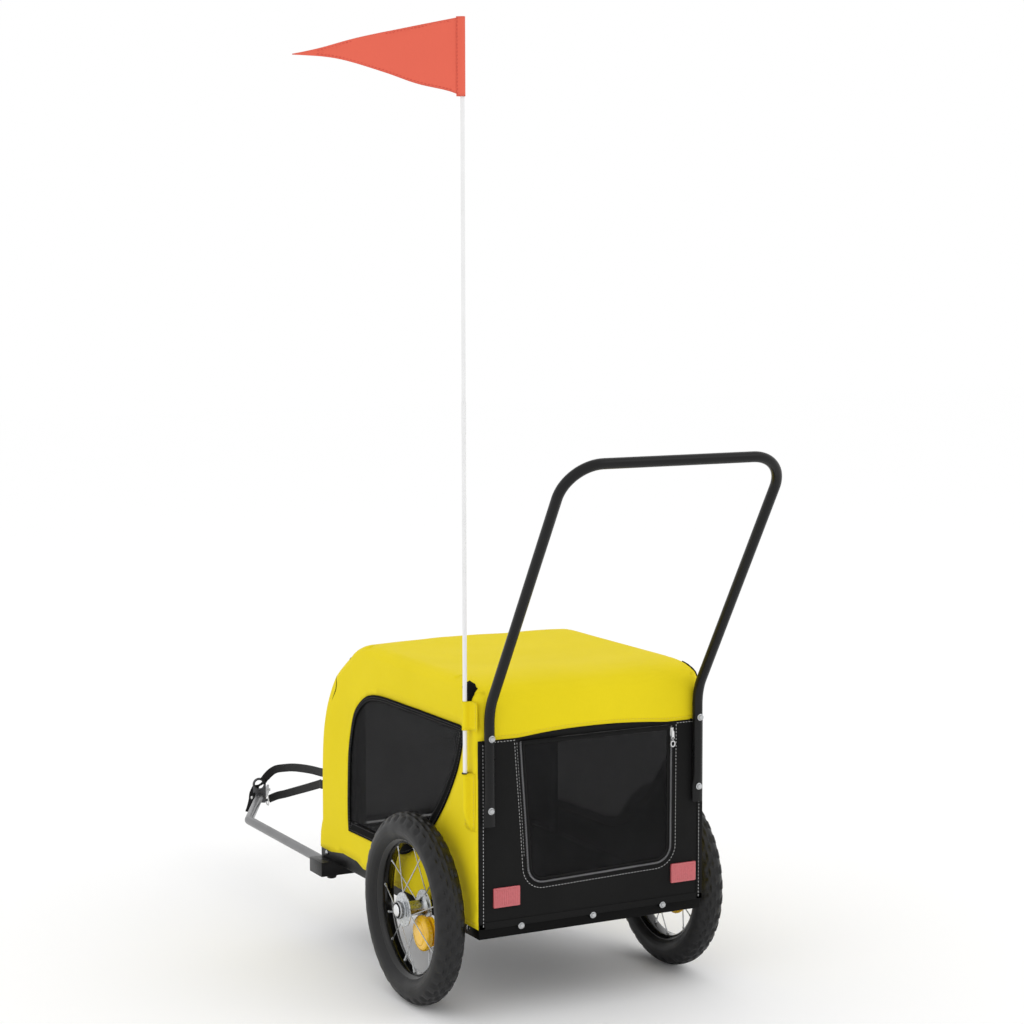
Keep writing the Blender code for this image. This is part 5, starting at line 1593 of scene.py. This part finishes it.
# ---- tow arm and hitch ------------------------------------------------------------------------------------
def tow_arm():
    """Tow tube, bracket with its knob, eye plate, fork and pin."""
    x, y = ARM_PIVOT
    route = bent([(x, 0.400, ARM_Z), (*ARM_BEND, ARM_Z), (*ARM_END, ARM_Z)], 0.022, 10)
    points = resampled(route, 0.02)
    piece("tow_tube", swept(points, circle(TUBE_R, 28)), "steel", ("tow_arm",), body="tow_arm", smooth=50)
    softened("tow_bracket", 0.0022, "paint")
    knob = [(0.0990, 0.0), (0.0990, 0.0060), (0.1000, 0.0078), (0.1050, 0.0096), (0.1078, 0.0096), (0.1083, 0.0086),
            (0.1083, 0.0040), (0.1322, 0.0040), (0.1322, 0.0)]
    piece("pivot_knob", turned(knob, 'z', (x, y, 0), 24), "plastic", ("tow_pivot_bolt",), slot="zinc_steel",
          smooth=35)
    spot = Matrix.Translation((*ARM_END, 0)) @ Matrix.Rotation(FORK_TURN, 4, 'Z')
    eye_outline = [(-0.0115, 0.1090), (0.0115, 0.1090), (0.0115, 0.1120), (0.0195, 0.1120), (0.0195, 0.1165),
                   (0.0122, 0.1165)]
    eye_outline += [(0.0128 * math.cos(a), 0.1450 + 0.0128 * math.sin(a)) for a in turns(20, math.pi)]
    hole = [(0.0085 * math.cos(a), 0.1450 + 0.0085 * math.sin(a)) for a in turns(32)]
    bm = filled(eye_outline, [hole], 0.004, lambda a, b: Vector((a, 0.0018, b)))
    bm.transform(spot)
    plate = piece("eye_plate", bm, "dark_steel", ("hitch_plate",), body="tow_arm", smooth=40)
    thicken(plate, 0.0030, offset=0.0)
    lip = swept([spot @ Vector((0.0104 * math.cos(a), 0.0018, 0.1450 + 0.0104 * math.sin(a))) for a in turns(32)],
                circle(0.0022, 10), closed=True)
    piece("eye_rim", lip, "dark_steel", body="tow_arm", smooth=60)
    weld = swept([spot @ Vector((0.0084 * math.cos(a), -0.0002, ARM_Z + 0.0084 * math.sin(a))) for a in turns(30)],
                 circle(0.0012, 8), closed=True)
    noise.seed_set(7)  # noise_vector would otherwise differ from run to run
    for v in weld.verts:
        v.co += Vector(noise.noise_vector(v.co * 500)) * 0.0003
    piece("arm_weld", weld, "dark_steel", body="tow_arm", smooth=60)
    softened("coupler_fork", 0.0010, "steel")
    softened("hitch_pin", 0.0005, "zinc")


tow_arm()

# ---- frame inside the cover ----------------------------------------------------------------------------------
softened("base_frame", 0.0016, "rail")
softened("floor_panel", 0.0010, "board")
for corner in ("rear_left", "rear_right", "front_left", "front_right"):
    softened(f"corner_joint_{corner}", 0.0012, "plastic")
HOOP_TOP, HOOP_FOOT, HOOP_BEND = 0.494, 0.1583, 0.022
for hoop_name, hoop_y in zip(("rear_hoop", "front_hoop"), HOOP_SPAN):
    hoop_route = [(side * HANDLE_HALF, hoop_y, z) for side, z in ((-1, HOOP_FOOT), (-1, HOOP_TOP), (1, HOOP_TOP),
                                                                  (1, HOOP_FOOT))]
    piece(f"{hoop_name}_tube", swept(bent(hoop_route, HOOP_BEND), circle(TUBE_R, 20)), "paint", (hoop_name,),
          smooth=50)
for bar_side, bar_word in SIDES:
    bar_path = [(bar_side * HANDLE_HALF, y, HOOP_TOP) for y in (-0.124, 0.279)]
    piece(f"top_bar_{bar_word}_tube", swept(bar_path, circle(TUBE_R, 20)), "paint", (f"top_bar_{bar_word}",),
          smooth=50)
